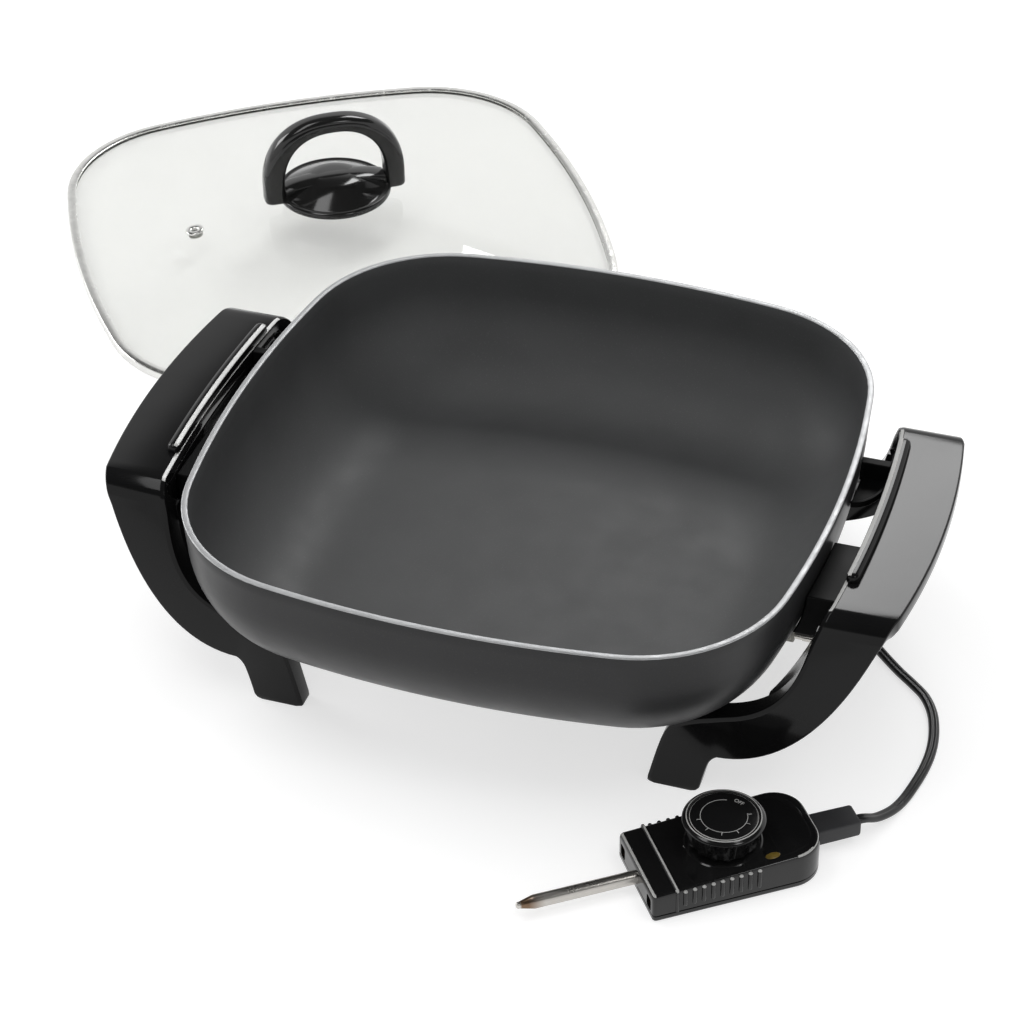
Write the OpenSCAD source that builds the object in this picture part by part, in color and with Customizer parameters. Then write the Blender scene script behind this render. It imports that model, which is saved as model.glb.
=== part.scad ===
// Electric skillet: a square non-stick pan on two leg handles, a loose glass lid lying beside it,
// and an unplugged plug-in temperature control with its cord.
// Millimetres. Origin: on the surface it stands on, under the centre of the pan.
// +X points to the right handle, -Y to the front, +Z up.

/* [Pan] */
// Width of the square pan across its rim
pan_w = 280; // [250:1:310]
// Height of the rim above the surface
rim_z = 101.5; // [98:0.5:112]
// Depth of the pan outside, from rim to underside
pan_depth = 65; // [60:0.5:68]
// Radius of the bowed sides seen from above
side_r = 505; // [420:5:700]
// Radius of the corners seen from above
corner_r = 69; // [60:1:80]
// Radius where the wall rolls into the bottom
bowl_r = 50; // [40:1:54]
// How far the wall leans in for each millimetre of depth
draft = 0.08; // [0.02:0.01:0.12]
// Thickness of the wall and of its bare flat rim
wall_t = 2.8; // [2:0.1:4]
// Thickness of the bottom
bottom_t = 4; // [3:0.5:6]

/* [Heater] */
// Diameter of the tubular heating element
element_d = 8; // [6.5:0.5:9]
// Half width of the element's square loop
element_half = 76; // [66:1:84]
// Room between the pan's underside and the element and probe well below it
element_room = 0.05; // [0.05:0.05:2]
// Distance between the two terminal pins
pin_pitch = 31; // [28:0.5:32]
// Diameter of a terminal pin
pin_d = 4.7; // [4:0.1:5.2]
// Bore of the probe well
well_bore = 6.4; // [6.2:0.1:6.8]
// Outside diameter of the probe well
well_d = 8; // [7.6:0.1:8.4]
// Room around the control's nose inside the socket guard, each way
guard_room = 2; // [1.5:0.25:4]

/* [Handles] */
// How far the band's outer edge stands out from the rim
band_reach = 44; // [38:0.5:52]
// Width of the band at the middle
band_w = 31.4; // [26:0.2:36]
// Distance from the rim down to the band's top face
band_drop = 9; // [5:0.5:14]
// Thickness of the band
band_t = 6; // [5:0.5:8]
// Distance from the pan's front side back to where the band bends down into a leg
band_set = 75; // [70:1:85]
// Depth of a leg, front to back
leg_t = 11; // [9:0.5:13]
// Depth of a foot on the surface
foot_t = 9; // [7:0.5:12]
// Thickness of the inner skirt under the band
liner_t = 3.6; // [3:0.1:5]
// Height of the inner skirt
liner_h = 22; // [18:1:26]
// Half width of the ridge along the band's inner edge
bead_r = 3; // [2.4:0.05:3.4]

/* [Lid] */
// How far the lid's steel rim stands out past the pan's rim
lid_over = 2.8; // [1:0.1:5]
// Height of the dome above the rim
dome_h = 17.5; // [12:0.5:24]
// Thickness of the glass
glass_t = 2.8; // [2.4:0.1:3.4]
// Height of the steel rim
lid_rim_h = 4.6; // [4.2:0.1:6]
// Length of the knob across its arch
knob_w = 78; // [70:1:86]
// Height of the arch above its feet
arch_h = 47; // [44:0.5:56]
// Radius of the round knob base
knob_r = 30.7; // [28:0.1:33]

/* [Control] */
// Distance from the middle of a terminal pin's sleeve out to the side of the control housing
control_side = 5.5; // [5.5:0.25:7]
// Length of the control housing
control_l = 77.5; // [74:0.5:80]
// Height of the housing at its probe end
nose_h = 13.5; // [13:0.1:14.5]
// Height of the housing at its cord end
tail_h = 17.5; // [16.5:0.1:19]
// Length of the probe outside the housing
probe_l = 52; // [44:1:58]
// Diameter of the probe
probe_d = 5.9; // [5.4:0.1:6.1]
// Radius of the dial
dial_r = 17.4; // [15:0.1:18]
// Height of the dial
dial_h = 12.5; // [11:0.5:14]

/* [Cord] */
// Width of the flat cord
cord_w = 4.8; // [4.4:0.1:5]
// Thickness of the flat cord
cord_t = 2.8; // [2.4:0.1:3]

/* [Hidden] */

gap = 0.3;                              // gap left between curved pieces that only lie near each other
side_steps = 3;
corner_steps = 8;

pan_z = rim_z - pan_depth;              // underside of the pan
pan_half = pan_w / 2;
plug_z = pan_z - max(element_d, well_d) / 2 - element_room; // line of element ends, pins and probe well

// Lid: where it lies and how it is turned
lid_x = -1.495 * pan_half;
lid_y = 2.03 * pan_half;
lid_yaw = 34;
lid_half = pan_half + lid_over;
lid_side_r = side_r + lid_over;
lid_corner_r = corner_r + lid_over;
lid_flat = 6.5;                         // width of glass held in the steel rim
rim_metal = 0.8;
vent_x = -78;
vent_r = 2.8;
stud_r = 2.2;                           // knob screw

// Control: middle of its probe end, and direction from probe to cord
control_x = pan_half - 46;
control_y = -pan_half - 17;
control_yaw = 36.7;
control_w = pin_pitch + 2 * control_side;
shell_t = 1.8;
seam_z = 3;                             // parting line between the two shells
probe_z = nose_h / 2;
dial_s = 38.3;                          // dial axis, from the probe end
shaft_r = 3;
tail_corner_r = 14;
post_r = 2.8;
posts = [[24, 10.5], [24, -10.5], [66, 13], [66, -13]];
relief_l = 20.5;
relief_w = 12.8;
relief_z = 9;
relief_h = 8;
relief_tail = 4;

// Coil of the cord's unseen length, and the plug at its end
coil_x = 60;
coil_y = 212;
coil_r = 31.5;
coil_pitch = cord_w + 0.6;
coil_turns = 2.5;
coil_lift = cord_t + 0.7;
coil_z = cord_t / 2 + 0.7;
coil_steps = 24;
coil_tail = 22;                         // straight end that clears the turns beside the plug
plug_l = 38;
plug_w = 24;
plug_t = 14;

function lerp(a, b, k) = a + (b - a) * k;
function unit(v) = v / norm(v);
function reversed(list) = [for (i = [len(list) - 1 : -1 : 0]) list[i]];
function bezier(p, k) =
    pow(1 - k, 3) * p[0] + 3 * pow(1 - k, 2) * k * p[1] + 3 * (1 - k) * k * k * p[2] + pow(k, 3) * p[3];

// ---- outlines and skins ----

// Centre of a corner arc that is tangent to the two bowed sides
function corner_c(a, r, rc) = ((a - r) + sqrt(2 * pow(r - rc, 2) - pow(a - r, 2))) / 2;

// One quarter of a square with bowed sides and round corners, drawn in by e
function quarter(a, r, rc, e) =
    let (c = corner_c(a, r, rc), turn = atan2(c, c - (a - r)))
    concat(
        [for (i = [0 : side_steps - 1]) let (t = turn * i / side_steps)
            [a - r + (r - e) * cos(t), (r - e) * sin(t)]],
        [for (i = [0 : corner_steps - 1]) let (t = lerp(turn, 90 - turn, i / corner_steps))
            [c + (rc - e) * cos(t), c + (rc - e) * sin(t)]],
        [for (i = [0 : side_steps - 1]) let (t = turn * (1 - i / side_steps))
            [(r - e) * sin(t), a - r + (r - e) * cos(t)]]);

function bowed_square(a, r, rc, e) =
    let (q = quarter(a, r, rc, e))
    concat(q, [for (p = q) [-p.y, p.x]], [for (p = q) [-p.x, -p.y]], [for (p = q) [p.y, -p.x]]);

// A closed surface through rings that each run counter-clockwise seen from the next ring
module skin(rings, closed = false) {
    n = len(rings[0]);
    m = len(rings);
    sides = [for (i = [0 : m - (closed ? 1 : 2)], j = [0 : n - 1])
        let (a = i * n + j, b = i * n + (j + 1) % n)
        let (c = ((i + 1) % m) * n + (j + 1) % n, d = ((i + 1) % m) * n + j)
        each [[a, d, c], [a, c, b]]];
    caps = closed ? [] : [[for (j = [0 : n - 1]) j], [for (j = [n - 1 : -1 : 0]) (m - 1) * n + j]];
    polyhedron(points = [for (r = rings) each r], faces = concat(sides, caps));
}

// Rings of a flat shape carried along a path, its first axis level and to the left
function along(path, shape) =
    [for (i = [0 : len(path) - 1])
        let (t = unit(path[min(i + 1, len(path) - 1)] - path[max(i - 1, 0)]))
        let (s = unit(cross([0, 0, 1], t)), u = cross(t, s))
        [for (q = shape) path[i] + q.x * s + q.y * u]];

function round_shape(r, n) = [for (i = [0 : n - 1]) r * [cos(360 * i / n), sin(360 * i / n)]];

// ---- pan ----

function pan_ring(e, z) = [for (p = bowed_square(pan_half, side_r, corner_r, e)) [p.x, p.y, z]];

// Rings of the bowl from its bottom flat up to its rim: inset added, depth and roll radius
function bowl_rings(inset, depth, r) = concat(
    [for (i = [0 : 6]) let (t = 90 - 15 * i)
        pan_ring(inset + draft * (depth - r) + r * (1 - cos(t)), rim_z - depth + r * (1 - sin(t)))],
    [pan_ring(inset, rim_z)]);

module pan() {
    color("#3a3a3c")
        skin(concat(
            bowl_rings(0, pan_depth, bowl_r),
            reversed(bowl_rings(wall_t, pan_depth - bottom_t, bowl_r - wall_t))));
}

// Outer face of the right wall at depth d under the rim
function wall_inset(d) =
    let (s = pan_depth - bowl_r)
    d < s ? draft * d : draft * s + bowl_r - sqrt(pow(bowl_r, 2) - pow(d - s, 2));
function wall_x(y, d) = pan_half - side_r + sqrt(pow(side_r - wall_inset(d), 2) - y * y);

// ---- heater and socket under the pan ----

element_turn = 30;
pin_half = pin_pitch / 2;
element_end = pan_half - 22;

// Corner points of a quarter bend
function bend(c, r, a, b) =
    [for (i = [0 : 5]) let (t = lerp(a, b, i / 5)) [c.x + r * cos(t), c.y + r * sin(t), plug_z]];

element_path = concat(
    [[element_end, -pin_half, plug_z], [element_half + 12, -pin_half, plug_z]],
    bend([element_half + 12, -pin_half - 12], 12, 90, 180),
    bend([element_half - element_turn, element_turn - element_half], element_turn, 0, -90),
    bend([element_turn - element_half, element_turn - element_half], element_turn, -90, -180),
    bend([element_turn - element_half, element_half - element_turn], element_turn, 180, 90),
    bend([element_half - element_turn, element_half - element_turn], element_turn, 90, 0),
    bend([element_half + 12, pin_half + 12], 12, 180, 270),
    [[element_half + 12, pin_half, plug_z], [element_end, pin_half, plug_z]]);

module heating_element() {
    color("#5c5a57") skin(along(element_path, round_shape(element_d / 2, 8)));
}

// Saddle straps that hold the element up against the bottom
module element_clips() {
    color("#8d8c88")
        for (a = [90, 180, 270]) rotate([0, 0, a])
            difference() {
                translate([element_half - 9, -6, plug_z - element_d / 2 - 1.2])
                    cube([18, 12, pan_z - plug_z + element_d / 2 + 1.1]);
                translate([element_half, 0, plug_z]) rotate([90, 0, 0])
                    cylinder(r = element_d / 2 + gap, h = 20, center = true, $fn = 32);
                translate([element_half - element_d / 2 - gap, -10, plug_z])
                    cube([element_d + 2 * gap, 20, 10]);
            }
}

module along_x(x, y, z) {
    translate([x, y, z]) rotate([0, 90, 0]) children();
}

pin_l = 30;
pin_neck_l = 10;                        // thinner root of a pin, inside the insulator and the guard's wall
pin_neck_r = pin_d / 2 - 0.35;

module terminal_pins() {
    color("#c9c9c6")
        for (y = [-pin_half, pin_half])
            along_x(element_end, y, plug_z) rotate_extrude($fn = 48)
                polygon([[0, 0], [pin_neck_r, 0], [pin_neck_r, pin_neck_l], [pin_d / 2, pin_neck_l],
                    [pin_d / 2, pin_l - 1.5], [pin_d / 2 - 1, pin_l], [0, pin_l]]);
}

insulator_l = 6;

module terminal_insulators() {
    color("#efece2")
        for (y = [-pin_half, pin_half])
            along_x(element_end + 0.2, y, plug_z) difference() {
                cylinder(r = element_d / 2 - 0.3, h = insulator_l, $fn = 48);
                translate([0, 0, -1]) cylinder(r = pin_neck_r + 0.05, h = insulator_l + 2, $fn = 48);
            }
}

guard_x = pan_half - 4.5;
guard_l = 16.5;
guard_wall = 2;
guard_w = control_w + 2 * guard_room;
guard_h = nose_h + 2 * guard_room + 1.5;
well_x = 62;                            // closed inner end of the well
well_mouth = guard_x + 4;
well_l = well_mouth - well_x;

module probe_well() {
    color("#a9a8a4")
        along_x(well_x, 0, plug_z) difference() {
            cylinder(r = well_d / 2, h = well_l, $fn = 64);
            translate([0, 0, 3]) cylinder(r = well_bore / 2, h = well_l, $fn = 64);
        }
}

bracket_top = rim_z - 16;
bracket_low = rim_z - 37;

module socket_guard() {
    y = guard_w / 2 + guard_wall;
    low = plug_z - guard_h / 2 - guard_wall;
    high = plug_z + guard_h / 2 + guard_wall;
    color("#1f1f20") {
        difference() {
            translate([guard_x, -y, low]) cube([guard_l, 2 * y, high - low]);
            translate([guard_x + guard_wall, -guard_w / 2, low + guard_wall])
                cube([guard_l, guard_w, guard_h]);
            along_x(guard_x - 1, 0, plug_z) cylinder(r = well_d / 2 + gap, h = guard_l, $fn = 48);
            for (s = [-pin_half, pin_half])
                along_x(guard_x - 1, s, plug_z) cylinder(r = pin_d / 2 + 1, h = 6, $fn = 48);
        }
        // web up to the front bracket
        translate([band_in - 12, -24, high - 0.01]) cube([9, 10, bracket_low - high + 0.01]);
    }
}

// ---- handles ----

band_out = pan_half + band_reach;
band_in = band_out - band_w;
band_z = rim_z - band_drop;
band_half = pan_half - band_set;
out_bow = 384;                          // radius of the band's outer edge seen from above
in_bow = 681;
bend_r = 11;
flange_t = 3;                           // web behind the inner edge of a leg
flange_d = 14;

function band_edge(x, bow, y) = [x - y * y / (2 * bow), y, band_z];

// Edges of a leg's front face, from the bend down to the foot, for a handle on the right.
// Each point is [from the right side of the pan, behind the end of the flat band, height]
leg_out = [[33.4, 10.6, 84.5], [26, 17, 66], [8, 29, 24], [-30, 27.3, 21]];
leg_in = [[5.6, 10.6, 84.5], [2, 17, 70], [0, 23, 48], [-28, 26, 43]];
foot_out = [[-33.5, 27.5, 17.5], [-35.5, 27.5, 10], [-36.5, 27.5, 3], [-39, 27.5, 0]];
foot_in = [[-42, 27.5, 37.5], [-52, 27.5, 35.5], [-56, 27.5, 18], [-61, 27.5, 0]];
leg_hip = 40;                           // height up to which a leg follows the pan's underside
leg_top = 86.5;                         // height up to which it follows the band
leg_reach = 44;
leg_under = 36.5;

// A leg's height stretched with the pan's underside below the hip and with the band above it
function leg_z(z) =
    z < leg_hip ? z * pan_z / leg_under
        : lerp(leg_hip * pan_z / leg_under, band_z - band_t, (z - leg_hip) / (leg_top - leg_hip));
function leg_shift(p) =
    [pan_half + p.x + (band_reach - leg_reach) * min(1, p.z / 60), band_half + p.y, leg_z(p.z)];

// One cross section: outer edge, inner edge, the direction the outside faces and the thickness
function section(o, i, lean, t) = let (n = [0, sin(lean), cos(lean)] * t) [o, o - n, i - n, i];

half_sections = concat(
    [for (y = [0, 20, 40, 55, band_half])
        section(band_edge(band_out, out_bow, y), band_edge(band_in, in_bow, y), 0, band_t)],
    [for (k = [1, 2, 3])
        let (a = 25 * k, y = band_half + bend_r * sin(a), z = band_z - bend_r * (1 - cos(a)))
        let (o = band_edge(band_out, out_bow, band_half).x, i = band_edge(band_in, in_bow, band_half).x)
        section([lerp(o, leg_shift(leg_out[0]).x, k / 3.2), y, z],
            [lerp(i, leg_shift(leg_in[0]).x, k / 3.2), y, z], a, lerp(band_t, leg_t, k / 3))],
    [for (k = [1 : 7])
        section(leg_shift(bezier(leg_out, k / 7)), leg_shift(bezier(leg_in, k / 7)), 90, leg_t)],
    [for (k = [0 : 3])
        section(leg_shift(foot_out[k]), leg_shift(foot_in[k]), 90, lerp(leg_t, foot_t, k / 3))]);

function flip_y(sections) = [for (s = sections) [for (p = s) [p.x, -p.y, p.z]]];
band_sections = concat(
    reversed(flip_y(half_sections)), [for (i = [1 : len(half_sections) - 1]) half_sections[i]]);

function edge_path(x, bow, y0, y1, z) =
    [for (i = [0 : 10]) let (y = lerp(y0, y1, i / 10)) [x - y * y / (2 * bow), y, z]];

// Web that runs back from a leg along its inner edge, widest half way down
module leg_flange() {
    skin([for (i = [0 : 6])
        let (p = leg_shift(bezier(leg_in, 0.1 + 0.11 * i)), back = p.y - leg_t - 3 - flange_d * sin(30 * i))
        [[p.x, p.y - leg_t + 1, p.z], [p.x + flange_t, p.y - leg_t + 1, p.z],
         [p.x + flange_t, back, p.z], [p.x, back, p.z]]]);
}

module handle_shape() {
    union() {
        skin(band_sections);
        for (end = [0, 1]) mirror([0, end, 0]) leg_flange();
    }
}

module handle_right() {
    color("#17171a") handle_shape();
}

module handle_left() {
    color("#17171a") mirror([1, 0, 0]) handle_shape();
}

liner_half = band_half - 4;
liner_top = band_z - band_t - 0.05;
liner_in = band_in;
bar_z = rim_z - 9.6;
bar_t = 10;
bar_y0 = 38;
bar_y1 = 42.5;
gusset_t = 3;
gusset_y = 17;                          // front end of the quarter-round web
tab_h = 12;
tab_t = 4;
tab_y1 = 50;
screw_r = 1.6;
screw_ys = [-33, 44];
screw_zs = [(bracket_top + bracket_low) / 2, bar_z - bar_t - tab_h / 2];

module screw_holes(r, h) {
    for (i = [0, 1])
        along_x(liner_in - 12, screw_ys[i], screw_zs[i]) cylinder(r = r, h = h, $fn = 32);
}

module liner_shape() {
    difference() {
        skin(along(
            edge_path(liner_in + liner_t / 2, in_bow, -liner_half, liner_half, liner_top - liner_h / 2),
            [[liner_t / 2, liner_h / 2], [-liner_t / 2, liner_h / 2],
             [-liner_t / 2, -liner_h / 2], [liner_t / 2, -liner_h / 2]]));
        screw_holes(screw_r + 0.1, 30);
    }
}

module handle_liner_right() {
    color("#141416") liner_shape();
}

module handle_liner_left() {
    color("#141416") mirror([1, 0, 0]) liner_shape();
}

// Ridge with a flat crown and a sloping side toward the pan
module bead_shape() {
    skin(along(edge_path(band_in + bead_r + 0.2, in_bow, 17 - band_half, band_half - 8, band_z + 0.02),
        bead_r * [[1, 0], [0.93, 1.01], [0.27, 1.25], [-0.27, 1.27], [-0.8, 1], [-1, 0]]));
}

module grip_bead_right() {
    color("#26262a") bead_shape();
}

module grip_bead_left() {
    color("#26262a") mirror([1, 0, 0]) bead_shape();
}

// An arm from the pan's wall out to the skirt, following the wall's curve
module arm(y0, y1, top, low) {
    mid = (y0 + y1) / 2;
    skin([for (i = [0 : 3])
        let (z = lerp(low, top, i / 3), x = wall_x(min(abs(y0), abs(y1)), rim_z - z) + gap)
        let (o = liner_in - max(y0 * y0, y1 * y1) / (2 * in_bow) - 0.05)
        [[o, y0, z], [o, y1, z], [x, y1, z], [x, y0, z]]]);
}

module front_bracket_shape() {
    difference() {
        arm(-53, -13, bracket_top, bracket_low);
        screw_holes(screw_r - 0.05, 30);
    }
}

// Quarter-round web in the corner between the bar and the pan's wall
module gusset() {
    x0 = wall_x(bar_y0, rim_z - bar_z + bar_t) + gap + 0.4;
    x1 = liner_in - bar_y1 * bar_y1 / (2 * in_bow) - 0.05;
    reach = bar_y0 - gusset_y;
    translate([0, 0, bar_z - bar_t])
        linear_extrude(gusset_t)
            polygon(concat([[x0 + 0.6, bar_y0 + 1]],
                [for (i = [0 : 8]) let (a = 90 * i / 8)
                    [x0 + 0.6 + (x1 - x0 - 0.6) * sin(a), bar_y0 - reach * cos(a)]],
                [[x1, bar_y0 + 1]]));
}

module rear_bracket_shape() {
    difference() {
        union() {
            arm(bar_y0, bar_y1, bar_z, bar_z - bar_t);
            gusset();
            // tab that the skirt is screwed to
            translate([liner_in - pow(tab_y1, 2) / (2 * in_bow) - tab_t - 0.05, bar_y0,
                    bar_z - bar_t - tab_h])
                cube([tab_t, tab_y1 - bar_y0, tab_h + 0.5]);
        }
        screw_holes(screw_r - 0.05, 30);
    }
}

module front_bracket_right() {
    color("#101012") front_bracket_shape();
}

module front_bracket_left() {
    color("#101012") mirror([1, 0, 0]) front_bracket_shape();
}

module rear_bracket_right() {
    color("#101012") rear_bracket_shape();
}

module rear_bracket_left() {
    color("#101012") mirror([1, 0, 0]) rear_bracket_shape();
}

module handle_screws() {
    color("#9a9a97")
        for (side = [0, 1], i = [0, 1]) mirror([side, 0, 0])
            translate([liner_in - pow(screw_ys[i], 2) / (2 * in_bow) + liner_t + 0.15,
                    screw_ys[i], screw_zs[i]])
                rotate([0, -90, 0]) union() {
                    cylinder(r = screw_r - 0.1, h = 12, $fn = 32);
                    translate([0, 0, -2]) cylinder(r = 3.2, h = 2, $fn = 32);
                }
}

// ---- lid ----

module place_lid() {
    translate([lid_x, lid_y, 0]) rotate([0, 0, lid_yaw]) children();
}

function lid_ring(e, z) =
    [for (p = bowed_square(lid_half, lid_side_r, lid_corner_r, e)) [p.x, p.y, z]];

glass_low = rim_metal + 0.1;
glass_flat = glass_low + glass_t;
hole_r = 4;                             // hole for the knob screw

function dome(k) = dome_h * (1 - pow(k, 1.6));

// Rings of the glass from the screw hole out to the flat edge
function dome_rings(z) = concat(
    [let (q = bowed_square(lid_half, lid_side_r, lid_corner_r, lid_flat))
        [for (p = q) [unit(p).x * hole_r, unit(p).y * hole_r, z + dome(hole_r / lid_half)]]],
    [for (k = [0.16, 0.3, 0.45, 0.6, 0.74, 0.87, 1])
        [for (p = lid_ring(lid_flat, z + dome(k))) [p.x * k, p.y * k, p.z]]]);

module lid_glass() {
    color([0.92, 0.93, 0.92, 0.4]) place_lid() difference() {
        skin(concat(
            dome_rings(glass_low), [lid_ring(rim_metal + 0.2, glass_low)],
            [lid_ring(rim_metal + 0.2, glass_flat)], reversed(dome_rings(glass_flat))), closed = true);
        translate([vent_x, 0, 0]) cylinder(r = vent_r, h = 40, $fn = 32);
    }
}

// Folded steel channel around the glass
module lid_rim() {
    w = 5;
    color("#c4c4c2") place_lid()
        skin([
            lid_ring(0, 0), lid_ring(0, lid_rim_h), lid_ring(w, lid_rim_h),
            lid_ring(w, glass_flat + 0.1), lid_ring(rim_metal, glass_flat + 0.1),
            lid_ring(rim_metal, glass_low - 0.1), lid_ring(w, glass_low - 0.1), lid_ring(w, 0)],
            closed = true);
}

function glass_top(x) = glass_flat + dome(x / (lid_half - lid_flat));
vent_z = glass_top(-vent_x);

module vent_grommet() {
    lean = 8;                           // slope of the glass at the vent
    color("#8f8f8b") place_lid() translate([vent_x, 0, vent_z]) rotate([0, -lean, 0])
        rotate_extrude($fn = 48)
            polygon([[1.5, -glass_t - 0.9], [3.9, -glass_t - 0.9], [3.9, -glass_t - 0.35],
                [vent_r - 0.45, -glass_t - 0.2], [vent_r - 0.45, 0.55], [5, 0.75], [4.6, 1.6], [2, 1.6],
                [1.5, 1]]);
}

gasket_t = 1.4;
seat = dome(hole_r / lid_half);         // height of the glass at the edge of its screw hole
gasket_z = glass_flat + seat + 0.02;
knob_z = gasket_z + gasket_t;
knob_edge_z = 26;
disc_h = 11;

module knob_gasket() {
    color("#2a2a2a") place_lid() translate([0, 0, gasket_z])
        difference() {
            cylinder(r = 11.5, h = gasket_t, $fn = 64);
            translate([0, 0, -1]) cylinder(r = 3.4, h = 5, $fn = 48);
        }
}

module knob_base() {
    step = 1.2;
    color("#1b1b1d") place_lid() difference() {
        rotate_extrude($fn = 96)
            polygon(concat(
                [[0, knob_z], [12, knob_z], [12, knob_edge_z], [knob_r - 1, knob_edge_z],
                 [knob_r, knob_edge_z + 1], [knob_r, knob_edge_z + 3]],
                [for (i = [1 : 6]) let (a = 15 * i)
                    [(knob_r - step) * cos(a), knob_edge_z + 3 + (disc_h - 3) * sin(a)]]));
        translate([0, 0, knob_z - 1]) cylinder(r = stud_r - 0.1, h = 10, $fn = 48);
    }
}

arch_in_w = knob_r - 2.7;               // the arch's feet reach in over the base's edge
arch_top = 8;                           // thickness of the arch at its crown
arch_depth = 12.6;
arch_z = 26;

// Half of a squarish ellipse, from its right end over the crown to its left end
function arch_line(w, h, n) =
    [for (i = [0 : n]) let (a = 180 * i / n, c = cos(a))
        [w * sign(c) * pow(abs(c), 0.85), h * pow(abs(sin(a)), 0.85)]];

module knob_arch() {
    straight = 8;
    color("#1d1d1f") place_lid() translate([0, 0, arch_z]) rotate([90, 0, 0])
        difference() {
            translate([0, 0, -arch_depth / 2]) linear_extrude(arch_depth)
                polygon(concat([[knob_w / 2, 0]],
                    [for (p = arch_line(knob_w / 2, arch_h - straight, 20)) [p.x, p.y + straight]],
                    [[-knob_w / 2, 0], [-arch_in_w, 0]],
                    reversed([for (p = arch_line(arch_in_w, arch_h - straight - arch_top, 20))
                        [p.x, p.y + straight]]),
                    [[arch_in_w, 0]]));
            // room for the round base between the feet
            translate([0, knob_edge_z - arch_z - 0.2, 0]) rotate([-90, 0, 0])
                cylinder(r = knob_r + 0.15, h = disc_h + 0.6, $fn = 96);
        }
}

module knob_screw() {
    washer_t = 0.6;
    washer_z = glass_low + seat - washer_t - 0.2;
    color("#a5a5a2") place_lid() translate([0, 0, washer_z]) {
        cylinder(r = 6.5, h = washer_t, $fn = 48);
        translate([0, 0, -1.9]) cylinder(r = 4.6, h = 1.9, $fn = 48);
        cylinder(r = stud_r - 0.15, h = knob_z + 8 - washer_z, $fn = 48);
    }
}

// ---- control ----

module place_control() {
    translate([control_x, control_y, 0]) rotate([0, 0, control_yaw]) children();
}

// Plan outline of the housing, drawn in by e: square nose, round tail corners
module housing_outline(e) {
    r = tail_corner_r - e;
    c = [control_l - tail_corner_r, control_w / 2 - tail_corner_r];
    polygon(concat(
        [[e, e - control_w / 2]],
        [for (i = [0 : 8]) let (a = -90 + 90 * i / 8) [c.x + r * cos(a), -c.y + r * sin(a)]],
        [for (i = [0 : 8]) let (a = 90 * i / 8) [c.x + r * cos(a), c.y + r * sin(a)]],
        [[e, control_w / 2 - e]]));
}

// Height of the sloping top at distance s from the probe end
function top_z(s) = lerp(nose_h, tail_h, s / control_l);
slope = atan((tail_h - nose_h) / control_l);
dial_z = top_z(dial_s + dial_r) + 0.6;

// Everything under the sloping top, drawn down by e
module under_top(e) {
    translate([0, 0, nose_h - e]) rotate([0, -slope, 0]) translate([-20, -50, -60]) cube([140, 100, 60]);
}

module sleeve_places() {
    for (t = [-pin_half, pin_half]) translate([0, t, probe_z]) rotate([0, 90, 0]) children();
}

ridge_s = 10.5;
rib_count = 8;
rib_pitch = 4.1;
lamp_s = 54;
lamp_t = -15.8;
lamp_size = [7, 4];

module control_top() {
    color("#161618") place_control() difference() {
        union() {
            difference() {
                intersection() {
                    translate([0, 0, seam_z]) linear_extrude(30) housing_outline(0);
                    under_top(0);
                }
                intersection() {
                    translate([0, 0, -1]) linear_extrude(30) housing_outline(shell_t);
                    under_top(shell_t);
                }
            }
            // ridge across the top behind the nose
            translate([ridge_s, 0, top_z(ridge_s) - 0.5]) rotate([0, -slope, 0])
                translate([-0.9, -control_w / 2, 0]) cube([1.8, control_w, 1.6]);
            // grip ribs on both long sides
            for (i = [0 : rib_count - 1], t = [-1, 1])
                translate([ridge_s + 6 + rib_pitch * i, t * control_w / 2 - 0.7, seam_z])
                    cube([1.8, 1.4, top_z(ridge_s + 6 + rib_pitch * i) - seam_z - 0.6]);
            intersection() {
                for (p = posts) translate([p.x, p.y, seam_z]) cylinder(r = post_r, h = 20, $fn = 32);
                under_top(shell_t / 2);
            }
            // bush around the shaft
            translate([dial_s, 0, top_z(dial_s) - 4]) cylinder(r = shaft_r + 1.8, h = 4.6, $fn = 48);
        }
        translate([dial_s, 0, 5]) cylinder(r = shaft_r + 0.06, h = 20, $fn = 64);
        translate([-1, 0, probe_z]) rotate([0, 90, 0]) cylinder(r = probe_d / 2 + 0.05, h = 4, $fn = 48);
        sleeve_places() translate([0, 0, -1]) cylinder(r = pin_d / 2 + 0.5, h = 4, $fn = 48);
        for (p = posts) translate([p.x, p.y, seam_z - 1]) cylinder(r = 1.2, h = 8, $fn = 32);
        translate([lamp_s - lamp_size.x / 2, lamp_t - lamp_size.y / 2, 8])
            cube([lamp_size.x, lamp_size.y, 20]);
        translate([control_l - 6, -relief_w / 2 + 1.8, relief_z - relief_h / 2 + 1.8])
            cube([12, relief_w - 3.6, relief_h - 3.6]);
    }
}

module control_base() {
    color("#1a1a1c") place_control() difference() {
        union() {
            difference() {
                linear_extrude(seam_z - 0.02) housing_outline(0);
                translate([0, 0, shell_t]) linear_extrude(10) housing_outline(shell_t);
            }
            for (t = [-pin_half, pin_half])
                translate([6, t - 2.5, shell_t - 0.01]) cube([10, 5, probe_z - 3.5 - shell_t - 0.04]);
            for (p = posts) translate([p.x, p.y, 0.5]) cylinder(r = post_r, h = seam_z - 0.55, $fn = 32);
        }
        for (p = posts) translate([p.x, p.y, -1]) {
            cylinder(r = 1.35, h = 10, $fn = 32);
            cylinder(r = 2.6, h = 2.3, $fn = 32);
        }
    }
}

module probe_tube() {
    tip = 7;
    color("#b7b2a8") place_control() translate([-probe_l, 0, probe_z]) rotate([0, 90, 0])
        rotate_extrude($fn = 48)
            polygon([[0, 0], [1, 0], [1.4, 0.4], [probe_d / 2, tip], [probe_d / 2, probe_l + 12],
                [0, probe_l + 12]]);
}

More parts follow.
